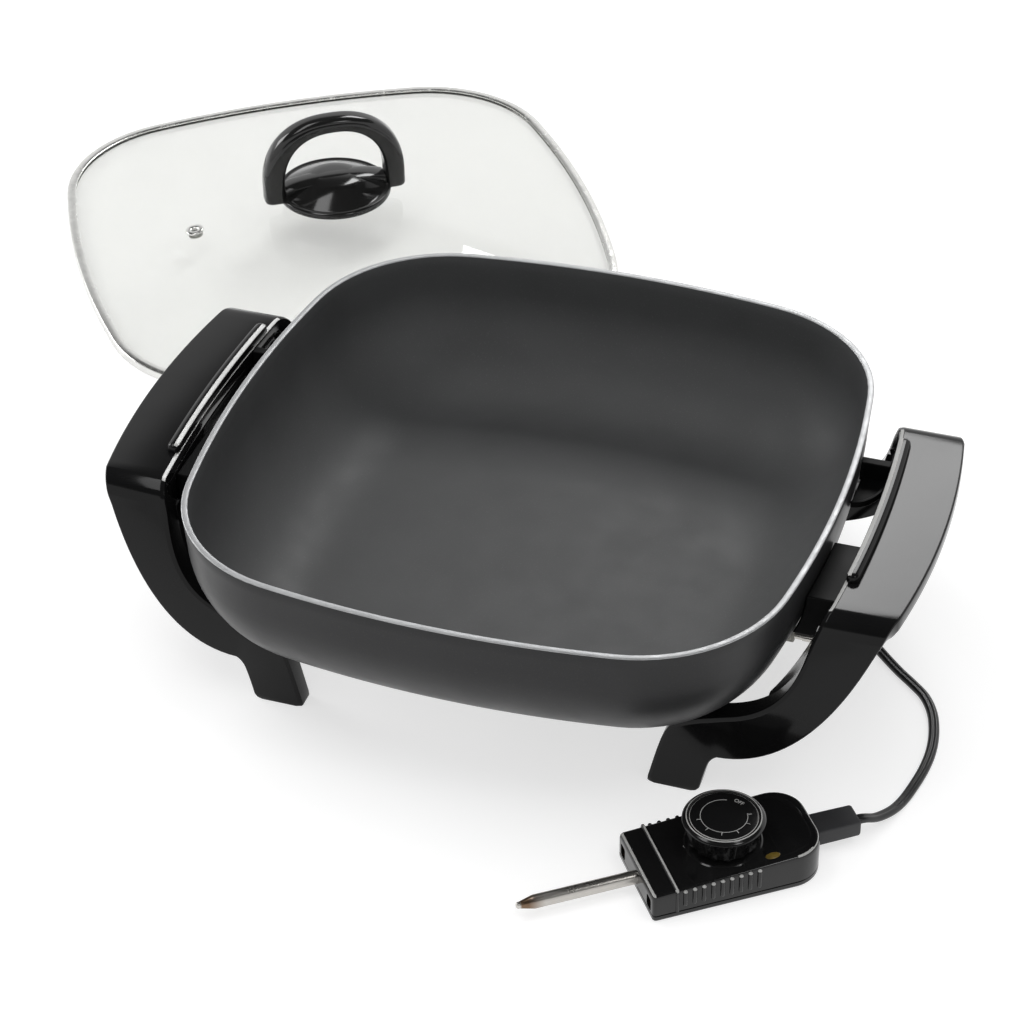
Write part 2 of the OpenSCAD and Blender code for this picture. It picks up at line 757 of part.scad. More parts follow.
module probe_ferrule() {
    color("#8a8882") place_control() translate([shell_t + 0.1, 0, probe_z]) rotate([0, 90, 0])
        difference() {
            cylinder(r = probe_d / 2 + 1.6, h = 6.6, $fn = 48);
            translate([0, 0, -1]) cylinder(r = probe_d / 2 + 0.02, h = 10, $fn = 48);
        }
}

sleeve_l = 17.5;

module contact_sleeves() {
    color("#c8a658") place_control() sleeve_places() translate([0, 0, shell_t + 0.1]) difference() {
        cylinder(r = 3.45, h = sleeve_l, $fn = 48);
        translate([0, 0, -1]) cylinder(r = pin_d / 2 + 0.1, h = sleeve_l, $fn = 48);
    }
}

stack_s = 60;

module thermostat_frame() {
    color("#9b9a96") place_control() difference() {
        union() {
            translate([8.6, -7, shell_t]) cube([stack_s - 4, 14, 1.2]);
            translate([8.6, -7, shell_t]) cube([1.2, 14, 8.6]);
        }
        translate([0, 0, probe_z]) rotate([0, 90, 0]) cylinder(r = probe_d / 2 + 0.04, h = 20, $fn = 48);
    }
}

blade_z = [6, 8.4];
blade_t = 0.4;

module contact_blades() {
    color("#b98a4a") place_control()
        for (z = blade_z) translate([34, -2.5, z]) cube([30, 5, blade_t]);
}

module ceramic_spacers() {
    lows = [shell_t + 1.2, blade_z[0] + blade_t, blade_z[1] + blade_t];
    highs = [blade_z[0], blade_z[1], 11];
    color("#e9e5da") place_control()
        for (i = [0 : 2]) translate([stack_s, 0, lows[i]]) cylinder(r = 4, h = highs[i] - lows[i], $fn = 32);
}

module lamp_lens() {
    color("#b98b2c") place_control()
        translate([lamp_s - lamp_size.x / 2 + 0.1, lamp_t - lamp_size.y / 2 + 0.1, top_z(lamp_s) - 2.6])
            cube([lamp_size.x - 0.2, lamp_size.y - 0.2, 3]);
}

module neon_lamp() {
    color("#e8a36a") place_control() translate([lamp_s - 4, lamp_t, top_z(lamp_s) - 4.7]) rotate([0, 90, 0])
        cylinder(r = 1.9, h = 9, $fn = 32);
}

wire_path = [[control_l - relief_tail - 0.5, 2.4, 9], [66, 5.5, 9], [58, 9.5, 9], [48, 12.5, 9],
    [38, pin_half - 1, 8.6], [28, pin_half, 7.6], [20, pin_half, 6.8]];

module internal_wires() {
    color("#7a4a34") place_control()
        for (t = [-1, 1])
            skin(along([for (p = wire_path) [p.x, t * p.y, p.z]], round_shape(0.9, 8)));
}

module cord_clamp() {
    color("#2c2c2e") place_control()
        translate([control_l - shell_t - 3.4, -6, shell_t]) cube([3.2, 12, relief_z - relief_h / 2 + 0.2]);
}

module housing_screws() {
    color("#8e8e8b") place_control() for (p = posts) translate([p.x, p.y, 0.3]) {
        cylinder(r = 2.4, h = 0.95, $fn = 32);
        cylinder(r = 1.1, h = 8, $fn = 32);
    }
}

// Moulded block where the cord leaves the housing, with a tail inside it
module strain_relief() {
    rib = 1.2;
    color("#232325") place_control() difference() {
        union() {
            translate([control_l + 0.05, -relief_w / 2, relief_z - relief_h / 2])
                cube([relief_l, relief_w, relief_h]);
            translate([control_l - relief_tail, 2 - relief_w / 2, relief_z - relief_h / 2 + 2])
                cube([relief_tail + 1, relief_w - 4, relief_h - 4]);
        }
        for (i = [0 : 3], t = [-1, 1])
            translate([control_l + 8 + 3.2 * i, t * relief_w / 2 - rib / 2, 0]) cube([rib, rib, 30]);
    }
}

// ---- dial ----

module place_dial() {
    place_control() translate([dial_s, 0, dial_z]) children();
}

cap_r = dial_r - 3;
flute_count = 14;

module dial_knob() {
    color("#151517") place_dial() difference() {
        union() {
            cylinder(r = dial_r - 0.4, h = dial_h - 2, $fn = 96);
            translate([0, 0, dial_h - 2.5]) rotate_extrude($fn = 96)
                polygon([[0, 0], [dial_r, 0], [dial_r, 1.2], [dial_r - 1, 2.5], [0, 2.5]]);
        }
        for (i = [0 : flute_count - 1]) rotate([0, 0, 360 * (i + 0.5) / flute_count])
            translate([dial_r + 1.2, 0, -1]) cylinder(r = 2.6, h = dial_h - 2, $fn = 32);
        translate([0, 0, -1]) cylinder(r = dial_r - 2.8, h = 1 + dial_h - 5.5, $fn = 96);
        translate([0, 0, dial_h - 0.8]) cylinder(r = cap_r + 0.1, h = 2, $fn = 96);
        translate([0, 0, -1]) cylinder(r = shaft_r, h = dial_h - 0.5, $fn = 64);
    }
}

module dial_cap() {
    color("#1c1c1f") place_dial() translate([0, 0, dial_h - 0.8]) cylinder(r = cap_r, h = 0.6, $fn = 96);
}

module adjusting_shaft() {
    low = blade_z[1] + blade_t + gap;
    color("#b0afaa") place_control() translate([dial_s, 0, low])
        cylinder(r = shaft_r - 0.04, h = dial_z + dial_h - 1.8 - low, $fn = 64);
}

// ---- cord ----

relief_end = control_l + relief_l + 0.05;
function from_control(s, z) =
    [control_x + s * cos(control_yaw), control_y + s * sin(control_yaw), z];

// Height of the cord's middle when it lies on the surface
lay = cord_t / 2 + 0.2;

// Route on the surface: past the front right leg, under the right handle and the pan, to the coil
route = concat(
    [from_control(relief_end, relief_z), from_control(relief_end + 4, relief_z - 0.3)],
    [[180, -90.5, 5.5], [184.5, -82, 3], [187.5, -73, lay], [190, -62, lay], [191.8, -50, lay],
     [192.2, -38, lay], [190.8, -26, lay], [187.5, -14, lay], [182, -4, lay], [175, 3, lay],
     [167, 10, lay], [157, 20, lay], [147, 31, lay], [138, 43, lay], [130, 56, lay], [123, 70, lay],
     [118, 85, lay], [114, 100, lay], [110, 117, lay], [105, 136, lay], [100, 155, lay],
     [95.6, 174, lay], [92.4, 190, lay]],
    [[coil_x + coil_r, coil_y - 8, coil_z], [coil_x + coil_r, coil_y - cord_w, coil_z]]);

// A smooth curve through the route's points
function curve_point(p, i, k) =
    let (a = p[max(i - 1, 0)], b = p[i], c = p[i + 1], d = p[min(i + 2, len(p) - 1)])
    0.5 * (2 * b + (c - a) * k + (2 * a - 5 * b + 4 * c - d) * k * k
        + (3 * b - a - 3 * c + d) * pow(k, 3));
function smooth(p, n) =
    concat([for (i = [0 : len(p) - 2], k = [0 : n - 1]) curve_point(p, i, k / n)], [p[len(p) - 1]]);

// Twin-core section: a flat oval
function flat_oval(n) =
    [for (i = [0 : n - 1]) let (a = 360 * i / n) [cord_w / 2 * cos(a), cord_t / 2 * sin(a)]];

module cord_free() {
    color("#1d1d1f") skin(along(smooth(route, 3), flat_oval(8)));
}

// The coil spirals in on the surface, climbs one layer and spirals out again on top
function coil_point(t) =
    let (r = coil_r - coil_pitch * min(t, coil_turns - t))
    let (k = max(0, min(1, (t - coil_turns / 2 + 0.25) / 0.5)))
    [coil_x + r * cos(360 * t), coil_y + r * sin(360 * t), coil_z + coil_lift * k * k * (3 - 2 * k)];

coil_rings = coil_turns * coil_steps;
coil_path = concat(
    [[coil_x + coil_r, coil_y - cord_w, coil_z]],
    [for (i = [0 : coil_rings]) coil_point(i / coil_steps)],
    [coil_point(coil_turns) - [0, coil_tail / 2, 0], coil_point(coil_turns) - [0, coil_tail, 0]]);
coil_skin = along(coil_path, flat_oval(6));

// Least distance between rings half a turn or more apart, measured on the skin's points
coil_gap = min([for (i = [0 : len(coil_skin) - 1], j = [i + coil_steps / 2 : 1 : len(coil_skin) - 1])
    norm(coil_path[i] - coil_path[j]) > 2 * cord_w ? 100
        : min([for (a = coil_skin[i], b = coil_skin[j]) norm(a - b)])]);

module cord_coil() {
    echo(least_gap_in_coil = coil_gap);
    color("#1d1d1f") skin(coil_skin);
}

// Strap around the turns, a quarter turn from where the cord comes in
module coil_tie() {
    in_r = coil_r - coil_pitch * coil_turns / 2 - cord_w / 2 - 0.4;
    out_r = coil_r + cord_w / 2 + 0.4;
    high = coil_z + coil_lift + cord_t / 2 + 0.3;
    t = 0.5;
    color("#2b2b2d") translate([coil_x, coil_y, 0]) rotate([0, 0, 90]) difference() {
        translate([in_r - t, -3, 0.02]) cube([out_r - in_r + 2 * t, 6, high + t]);
        translate([in_r, -4, 0.02 + t]) cube([out_r - in_r, 8, high - t]);
    }
}

plug_top = coil_z + coil_lift;

module place_plug() {
    translate(coil_path[len(coil_path) - 1]) children();
}

module plug_body() {
    neck = 9;
    color("#202022") place_plug() translate([0, -0.02, plug_t / 2 - plug_top]) {
        translate([0, 0, 0]) rotate([90, 0, 0]) linear_extrude(neck + 0.01)
            polygon([[-5, -5], [5, -5], [5, 4], [3.5, 5], [-3.5, 5], [-5, 4]]);
        translate([0, -neck, -plug_t / 2]) linear_extrude(plug_t)
            polygon([[-8, 0], [8, 0], [plug_w / 2, -8], [plug_w / 2, neck - plug_l],
                [-plug_w / 2, neck - plug_l], [-plug_w / 2, -8]]);
    }
}

module plug_blades() {
    blade_l = 17;
    color("#c9b37a") place_plug()
        for (x = [-6.35, 6.35])
            translate([x - 0.75, -plug_l - blade_l - 0.02, plug_t / 2 - plug_top - 3.2])
                cube([1.5, blade_l, 6.4]);
}

pan();
heating_element();
element_clips();
terminal_pins();
terminal_insulators();
probe_well();
socket_guard();
handle_right();
handle_left();
handle_liner_right();
handle_liner_left();
grip_bead_right();
grip_bead_left();
front_bracket_right();
front_bracket_left();
rear_bracket_right();
rear_bracket_left();
handle_screws();
lid_glass();
lid_rim();
vent_grommet();
knob_arch();
knob_base();
knob_gasket();
knob_screw();
control_top();
control_base();
probe_tube();
probe_ferrule();
contact_sleeves();
thermostat_frame();
contact_blades();
ceramic_spacers();
lamp_lens();
neon_lamp();
internal_wires();
cord_clamp();
housing_screws();
strain_relief();
cord_free();
cord_coil();
coil_tie();
plug_body();
plug_blades();
dial_knob();
dial_cap();
adjusting_shaft();
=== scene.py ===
import math

import bmesh
import bpy
from mathutils import Matrix, Vector


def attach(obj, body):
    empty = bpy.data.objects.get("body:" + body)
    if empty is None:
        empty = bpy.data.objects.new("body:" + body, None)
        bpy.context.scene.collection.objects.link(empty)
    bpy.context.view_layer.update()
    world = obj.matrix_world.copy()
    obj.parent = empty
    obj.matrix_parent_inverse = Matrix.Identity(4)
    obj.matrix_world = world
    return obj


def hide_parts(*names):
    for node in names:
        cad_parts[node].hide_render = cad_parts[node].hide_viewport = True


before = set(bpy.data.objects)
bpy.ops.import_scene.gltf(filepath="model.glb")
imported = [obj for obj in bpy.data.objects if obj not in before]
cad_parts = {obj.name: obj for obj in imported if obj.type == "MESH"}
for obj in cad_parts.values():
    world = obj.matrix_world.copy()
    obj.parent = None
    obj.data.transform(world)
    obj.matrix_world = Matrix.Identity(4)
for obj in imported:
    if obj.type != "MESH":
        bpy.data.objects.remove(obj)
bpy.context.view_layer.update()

scene = bpy.context.scene
MM = 0.001  # shapes are written in millimetres


# ---- small mathematics ----

def lerp(a, b, k):
    return a + (b - a) * k


def spread(a, b, n):
    """n + 1 numbers from a to b."""
    return [lerp(a, b, i / n) for i in range(n + 1)]


def cosd(a):
    return math.cos(math.radians(a))


def sind(a):
    return math.sin(math.radians(a))


def bezier(p, k):
    w = ((1 - k) ** 3, 3 * (1 - k) ** 2 * k, 3 * (1 - k) * k * k, k ** 3)
    return Vector([sum(w[i] * p[i][j] for i in range(4)) for j in range(3)])


def smooth(points, n):
    """A smooth curve through the points, n steps to each stretch."""
    p = [Vector(q) for q in points]
    out = []
    for i in range(len(p) - 1):
        a, b, c, d = p[max(i - 1, 0)], p[i], p[i + 1], p[min(i + 2, len(p) - 1)]
        for s in range(n):
            k = s / n
            out.append(0.5 * (2 * b + (c - a) * k + (2 * a - 5 * b + 4 * c - d) * k * k
                              + (3 * b - a - 3 * c + d) * k ** 3))
    return out + [p[-1]]


# ---- shapes: each is (vertices, faces) ----

def loft(rings, closed=False, caps=True):
    n, m = len(rings[0]), len(rings)
    verts = [tuple(p) for ring in rings for p in ring]
    faces = []
    for i in range(m if closed else m - 1):
        for j in range(n):
            k, up = (j + 1) % n, ((i + 1) % m) * n
            faces.append((i * n + j, i * n + k, up + k, up + j))
    if caps and not closed:
        faces += [tuple(range(n - 1, -1, -1)), tuple((m - 1) * n + j for j in range(n))]
    return verts, faces


def joined(*shapes):
    verts, faces = [], []
    for v, f in shapes:
        base = len(verts)
        verts += v
        faces += [tuple(base + i for i in face) for face in f]
    return verts, faces


def moved(shape, matrix):
    return [tuple(matrix @ Vector(v)) for v in shape[0]], shape[1]


def shift(x, y, z):
    return Matrix.Translation((x, y, z))


def turn(angle, axis):
    return Matrix.Rotation(math.radians(angle), 4, axis)


def lathe(profile, steps=96, closed=False):
    """A turned shape round Z from points (radius, height)."""
    rings = [[(r * cosd(360 * i / steps), r * sind(360 * i / steps), z) for i in range(steps)]
             for r, z in profile]
    return loft(rings, closed=closed, caps=not closed)


def fillet(ring, r, n=3):
    """A ring with its corners rounded off; r is one radius or one for each corner."""
    out = []
    count = len(ring)
    for i in range(count):
        p = Vector(ring[i])
        radius = r[i] if isinstance(r, (list, tuple)) else r
        ends = []
        for q in (Vector(ring[i - 1]), Vector(ring[(i + 1) % count])):
            d = q - p
            ends.append(p + d.normalized() * min(radius, d.length * 0.49))
        for k in spread(0, 1, n):
            out.append((1 - k) ** 2 * ends[0] + 2 * (1 - k) * k * p + k * k * ends[1])
    return out


def slab(outline, z0, z1):
    return loft([[(x, y, z) for x, y in outline] for z in (z0, z1)])


def rect(x0, x1, y0, y1):
    """The corners of a rectangle, from (x0, y0) by way of (x1, y0)."""
    return [(x0, y0), (x1, y0), (x1, y1), (x0, y1)]


def arc(cx, cy, r, a0, a1, n):
    return [(cx + r * cosd(a), cy + r * sind(a)) for a in spread(a0, a1, n)]


def along(path, section):
    """A section, points (left, up), carried along a path and kept upright."""
    rings = []
    for i, p in enumerate(path):
        t = (path[min(i + 1, len(path) - 1)] - path[max(i - 1, 0)]).normalized()
        s = Vector((0, 0, 1)).cross(t).normalized()
        u = t.cross(s)
        rings.append([p + q[0] * s + q[1] * u for q in section])
    return rings


def circle(r, n):
    return [(r * cosd(360 * i / n), r * sind(360 * i / n)) for i in range(n)]


def capsule(length, r, n=16):
    """A rod along X with rounded ends, from 0 to length."""
    rings = []
    for x, k in ([(r * (1 - cosd(a)), sind(a)) for a in (12, 30, 50, 70, 90)]
                 + [(length - r * (1 - cosd(a)), sind(a)) for a in (90, 70, 50, 30, 12)]):
        rings.append([(x, r * k * cosd(360 * i / n), r * k * sind(360 * i / n)) for i in range(n)])
    return loft(rings)


# ---- pieces ----

def solid_mesh(name, shape, place):
    """A closed mesh from a shape in millimetres, without doubled points, normals outward."""
    mesh = bpy.data.meshes.new(name)
    mesh.from_pydata([(place @ Vector(v)) * MM for v in shape[0]], [], shape[1])
    bm = bmesh.new()
    bm.from_mesh(mesh)
    bmesh.ops.remove_doubles(bm, verts=bm.verts, dist=2e-6)
    bmesh.ops.dissolve_degenerate(bm, edges=bm.edges, dist=1e-7)
    bmesh.ops.recalc_face_normals(bm, faces=bm.faces)
    bm.to_mesh(mesh)
    bm.free()
    return mesh


def make(name, shape, material, body, replaces=(), slot=None, at=None, sharp=32, bevel=0.0,
         bevel_steps=2):
    """A piece from a shape in millimetres, shaded smooth except at its sharp edges."""
    mesh = solid_mesh(name, shape, at or Matrix.Identity(4))
    mesh.shade_smooth()
    mesh.set_sharp_from_angle(angle=math.radians(sharp))
    piece = bpy.data.objects.new(name, mesh)
    scene.collection.objects.link(piece)
    for m in material if isinstance(material, (list, tuple)) else [material]:
        mesh.materials.append(m)
    if bevel:
        mod = piece.modifiers.new("edge", "BEVEL")
        mod.width = bevel * MM
        mod.segments = bevel_steps
        mod.limit_method = "ANGLE"
        mod.angle_limit = math.radians(sharp)
        mod.harden_normals = True
    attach(piece, body)
    if replaces:
        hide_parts(*replaces)
    return piece


def repaint(piece, second, test, at):
    """Gives a second material to the faces that pass a test on their middle and normal in place."""
    piece.data.materials.append(second)
    back_there = at.inverted()
    straight = back_there.to_3x3()
    for face in piece.data.polygons:
        if test(back_there @ (face.center / MM), straight @ face.normal):
            face.material_index = len(piece.data.materials) - 1


def flattened(ob):
    """The mesh of an object as its modifiers or letters leave it."""
    bpy.context.view_layer.update()
    return bpy.data.meshes.new_from_object(ob.evaluated_get(bpy.context.evaluated_depsgraph_get()))


# ---- materials ----

def put(tree, socket, value):
    """Gives a socket a value, or links another node's output to it."""
    if isinstance(value, bpy.types.NodeSocket):
        tree.links.new(value, socket)
    else:
        socket.default_value = value


def node(tree, kind, inputs, output, operation=None, data_type=None):
    """Adds a shader node, fills in its inputs and gives back one of its outputs."""
    new = tree.nodes.new("ShaderNode" + kind)
    if operation:
        new.operation = operation
    if data_type:
        new.data_type = data_type
    for key, value in inputs.items():
        put(tree, new.inputs[key], value)
    return new.outputs[output]


def seen_by(tree, *rays):
    """1 for the named kinds of ray and 0 for others."""
    out = None
    for ray in rays:
        hit = node(tree, "LightPath", {}, "Is " + ray + " Ray")
        out = node(tree, "Math", {0: out, 1: hit}, "Value", "MAXIMUM") if out else hit
    return out


class Paint:
    """A node material built up step by step from noise in real sizes."""

    def __init__(self, name, colour, rough):
        self.material = bpy.data.materials.new(name)
        self.material.use_nodes = True
        self.tree = self.material.node_tree
        self.shader = self.tree.nodes["Principled BSDF"]
        self.colour, self.rough = colour, rough
        self.put("Base Color", (*colour, 1))
        self.put("Roughness", rough)
        self.put("IOR", 1.5)
        self.place = self.node("TexCoord", {}, "Object")

    def put(self, key, value):
        put(self.tree, self.shader.inputs[key], value)

    def node(self, *row):
        return node(self.tree, *row)

    def noise(self, size_mm, detail=2.0):
        """Noise whose blots are about size_mm across."""
        return self.node("TexNoise", {"Vector": self.place, "Scale": 1 / (size_mm * MM),
                                      "Detail": detail}, "Fac")

    def between(self, value, a, b, low=0.3, high=0.7):
        """Takes a value between low and high to one between a and b."""
        return self.node("MapRange", {"Value": value, "From Min": low, "From Max": high,
                                      "To Min": a, "To Max": b}, "Result")

    def blend(self, value, a, b):
        """A colour between a and b, each a colour or an output."""
        a, b = [(*c, 1) if isinstance(c, tuple) else c for c in (a, b)]
        return self.node("Mix", {"Factor": value, 6: a, 7: b}, 2, None, "RGBA")

    def mottle(self, size_mm, amount, detail=3.0):
        """Varies the colour by the given share."""
        a, b = [tuple(min(1, c * (1 + s * amount)) for c in self.colour) for s in (-1, 1)]
        out = self.blend(self.between(self.noise(size_mm, detail), 0, 1), a, b)
        self.put("Base Color", out)
        return out

    def wear(self, size_mm, amount, detail=3.0):
        """Varies the roughness by the given amount."""
        low = max(0.02, self.rough - amount)
        self.put("Roughness", self.between(self.noise(size_mm, detail), low, self.rough + amount))

    def grain(self, size_mm, depth_mm, strength=0.3):
        """Small bumps."""
        self.put("Normal", self.node("Bump", {"Strength": strength, "Distance": depth_mm * MM,
                                              "Height": self.noise(size_mm)}, "Normal"))


def paint(name, colour, rough, mottle, wear, grain=None, metallic=0.0, clear=0.0, specular=0.5):
    """A material with its mottle, wear and grain, each as the method of that name takes them."""
    p = Paint(name, colour, rough)
    p.put("Metallic", metallic)
    p.put("Transmission Weight", clear)
    p.put("Specular IOR Level", specular)
    p.mottle(*mottle)
    p.wear(*wear)
    if grain:
        p.grain(*grain)
    return p.material


def plastic(name, colour, rough, wear=0.04, grain=(1.6, 0.01, 0.12), specular=0.5):
    return paint(name, colour, rough, (22, 0.12), (30, wear), grain, specular=specular)


def metal(name, colour, rough, wear=0.06):
    return paint(name, colour, rough, (9, 0.06), (6, wear), (0.5, 0.01, 0.1), metallic=1.0)


def coating(name, colour, rough, fleck, specular=0.5):
    """Sprayed non-stick coating: fine orange peel with small paler flecks."""
    p = Paint(name, colour, rough)
    p.put("Specular IOR Level", specular)
    base = p.mottle(35, 0.08)
    spots = p.between(p.noise(0.7, 1.0), 0, 1, 0.62, 0.72)
    p.put("Base Color", p.blend(spots, base, fleck))
    p.wear(18, 0.04)
    p.grain(1.1, 0.02, 0.25)
    return p.material


PAN_IN = coating("coating_inside", (0.043, 0.044, 0.045), 0.55, (0.056, 0.057, 0.058))
PAN_OUT = coating("coating_outside", (0.026, 0.026, 0.027), 0.38, (0.034, 0.034, 0.035),
                  specular=0.25)
BARE = metal("machined_aluminium", (0.44, 0.445, 0.45), 0.5)
GRIP = plastic("handle_plastic", (0.006, 0.006, 0.0062), 0.12, wear=0.02, specular=0.2)
ARM = plastic("bracket_plastic", (0.003, 0.003, 0.0031), 0.5, wear=0.05, specular=0.12)
KNOB = plastic("knob_plastic", (0.010, 0.010, 0.0098), 0.12, wear=0.02)
SHELL = plastic("control_plastic", (0.006, 0.006, 0.0062), 0.1, wear=0.02)
# Painted highlight: edges and ridges painted light grey to stand for the lamps' glints on them
PAINTED_HIGHLIGHT = plastic("painted_edge_highlight", (0.4, 0.4, 0.39), 0.24, wear=0.05, grain=(0.8, 0.01, 0.2))
DIAL = plastic("dial_plastic", (0.007, 0.007, 0.0072), 0.13, wear=0.02)
FACE = plastic("dial_face", (0.006, 0.006, 0.0062), 0.16, wear=0.03)
PRINT = plastic("pale_print", (0.42, 0.42, 0.41), 0.5)
VINYL = plastic("cord_vinyl", (0.013, 0.013, 0.014), 0.33, wear=0.06, grain=(0.9, 0.02, 0.3))
RELIEF = plastic("relief_vinyl", (0.022, 0.022, 0.024), 0.5, wear=0.05, grain=(0.5, 0.02, 0.3))
STEEL = metal("rolled_steel", (0.72, 0.72, 0.7), 0.24, 0.05)
SCREW = metal("zinc_screw", (0.55, 0.55, 0.54), 0.32)
NICKEL = metal("nickel_pin", (0.66, 0.64, 0.6), 0.22)
BRASS = metal("spring_brass", (0.7, 0.5, 0.22), 0.28)
SHEATH = metal("heated_sheath", (0.16, 0.15, 0.14), 0.5, 0.1)
FRAME = metal("pressed_steel", (0.5, 0.5, 0.48), 0.38)
CERAMIC = paint("white_ceramic", (0.78, 0.76, 0.7), 0.6, (1.5, 0.05), (2, 0.08), (0.4, 0.02, 0.3))
RUBBER = paint("silicone_seal", (0.03, 0.03, 0.03), 0.6, (4, 0.1), (3, 0.08), (0.6, 0.02, 0.3))
AMBER = paint("amber_plastic", (0.17, 0.115, 0.022), 0.2, (2, 0.25), (3, 0.04), (0.8, 0.01, 0.2),
              clear=0.25)
BULB = paint("bulb_glass", (0.9, 0.62, 0.42), 0.06, (2, 0.08), (3, 0.03), clear=0.7)


def braid():
    """Glass-fibre sleeve: a fine woven check."""
    p = Paint("braided_sleeve", (0.42, 0.25, 0.16), 0.8)
    p.put("Base Color", p.node("TexChecker", {
        "Vector": p.place, "Scale": 1 / (0.4 * MM), "Color1": (0.42, 0.25, 0.16, 1),
        "Color2": (0.3, 0.17, 0.1, 1)}, "Color"))
    p.wear(1, 0.1)
    p.grain(0.4, 0.05, 0.5)
    return p.material


def probe_steel():
    """Satin steel that heat has tinted brown towards the probe's tip."""
    p = Paint("probe_steel", (0.52, 0.5, 0.47), 0.3)
    p.put("Metallic", 1.0)
    base = p.mottle(14, 0.05)
    axis = Vector((math.cos(YAW), math.sin(YAW), 0))
    place = p.node("VectorMath", {0: p.place, 1: axis}, "Value", "DOT_PRODUCT")
    tip = CONTROL_AT.dot(axis) * MM - PROBE_L * MM
    brown = p.between(place, 1, 0, tip + 0.005, tip + 0.012)
    ball = p.between(place, 1, 0, tip + 0.0014, tip + 0.0022)
    heated = p.blend(brown, base, (0.2, 0.13, 0.085))
    p.put("Base Color", p.blend(ball, heated, (0.6, 0.58, 0.55)))
    p.wear(12, 0.03)
    p.grain(2.5, 0.005, 0.1)
    return p.material


def lid_glass_paint():
    """Clear glass that lets the light of its shadow through."""
    p = Paint("tempered_glass", (0.66, 0.663, 0.65), 0.012)
    p.put("IOR", 1.32)  # under real glass, for the faint reflections of the photo
    p.mottle(60, 0.006)
    p.wear(25, 0.01)
    p.put("Transmission Weight", 1.0)
    clear = p.node("BsdfTransparent", {"Color": (0.93, 0.935, 0.925, 1)}, "BSDF")
    mix = p.node("MixShader", {"Fac": seen_by(p.tree, "Shadow"), 1: p.shader.outputs["BSDF"],
                               2: clear}, "Shader")
    put(p.tree, p.tree.nodes["Material Output"].inputs["Surface"], mix)
    return p.material


# ---- camera, floor and light ----

AIM = Vector((7.0, -54.7, 101.5))
AZIMUTH, ELEVATION, DISTANCE, ROLL = 19.171, 37.218, 1287.2, -1.012
back = Vector((sind(AZIMUTH) * cosd(ELEVATION), -cosd(AZIMUTH) * cosd(ELEVATION), sind(ELEVATION)))
right = Vector((cosd(AZIMUTH), sind(AZIMUTH), 0))
up = back.cross(right)
side = right * cosd(ROLL) + up * sind(ROLL)
top = up * cosd(ROLL) - right * sind(ROLL)
camera = bpy.data.objects.new("camera", bpy.data.cameras.new("camera"))
scene.collection.objects.link(camera)
camera.matrix_world = (Matrix.Translation((AIM + back * DISTANCE) * MM)
                       @ Matrix((side, top, back)).transposed().to_4x4())
camera.data.sensor_width = 36
camera.data.lens = 106.24
camera.data.shift_x = 0.0007
camera.data.clip_start, camera.data.clip_end = 0.05, 20
scene.camera = camera

scene.view_settings.view_transform = "Standard"


def lamp(name, at, aim, size, power, glossy=True):
    """A soft panel of size (width, height) in metres, facing a point."""
    light = bpy.data.lights.new(name, "AREA")
    light.shape = "RECTANGLE"
    light.size, light.size_y = size
    light.energy = power
    ob = bpy.data.objects.new(name, light)
    scene.collection.objects.link(ob)
    at, aim = Vector(at), Vector(aim)
    ob.location = at
    ob.rotation_mode = "QUATERNION"
    ob.rotation_quaternion = (aim - at).to_track_quat("-Z", "Y")
    ob.visible_glossy = glossy


lamp("panel_back", (-0.05, 1.55, 1.34), (0.05, 0, 0.09), (0.72, 0.5), 11.0)
lamp("panel_top_left", (-0.6, -0.1, 1.5), (-0.6, -0.15, 0), (0.4, 1.4), 6.2)
lamp("panel_left", (-1.45, 0.35, 0.62), (0, 0, 0.05), (0.6, 0.5), 5.5)
lamp("panel_right", (0.9, -0.42, 1.45), (0.1, 0, 0), (0.3, 0.45), 2.2)
lamp("fill_top", (0.3, -0.2, 1.9), (0, 0, 0), (1.6, 1.6), 6, glossy=False)
lamp("fill_front", (0.2, -1.9, 1.1), (0, 0, 0.05), (1.4, 0.8), 4, glossy=False)

WHITE = (1, 1, 1, 1)
ROOM_LIGHT, BACKDROP = 0.48, 1.0
WALL_TOP, WALL_FADE = 0.52, 0.08  # heights of a direction's unit vector
WALL_GLOSS, CEILING_GLOSS = 0.95, 0.05

world = bpy.data.worlds.new("studio")
scene.world = world
world.use_nodes = True
sky = world.node_tree
sky.nodes.clear()
# What gloss sees: a white room wall below, dark above
height = node(sky, "SeparateXYZ", {"Vector": node(sky, "TexCoord", {}, "Generated")}, "Z")
wall = node(sky, "MapRange", {
    "Value": height, "From Min": WALL_TOP, "From Max": WALL_TOP + WALL_FADE,
    "To Min": WALL_GLOSS, "To Max": CEILING_GLOSS}, "Result")
wall.node.interpolation_type = "SMOOTHSTEP"
room, backdrop, gloss = [node(sky, "Background", {"Color": WHITE, "Strength": level}, "Background")
                         for level in (ROOM_LIGHT, BACKDROP, wall)]
lit = node(sky, "MixShader", {"Fac": seen_by(sky, "Glossy"), 1: room, 2: gloss}, "Shader")
lit = node(sky, "MixShader", {"Fac": seen_by(sky, "Camera", "Transmission"), 1: lit, 2: backdrop},
           "Shader")
put(sky, sky.nodes.new("ShaderNodeOutputWorld").inputs["Surface"], lit)

FLOOR_HALF, FLOOR_GREY, FLOOR_LIFT = 6.0, 0.5, 0.63


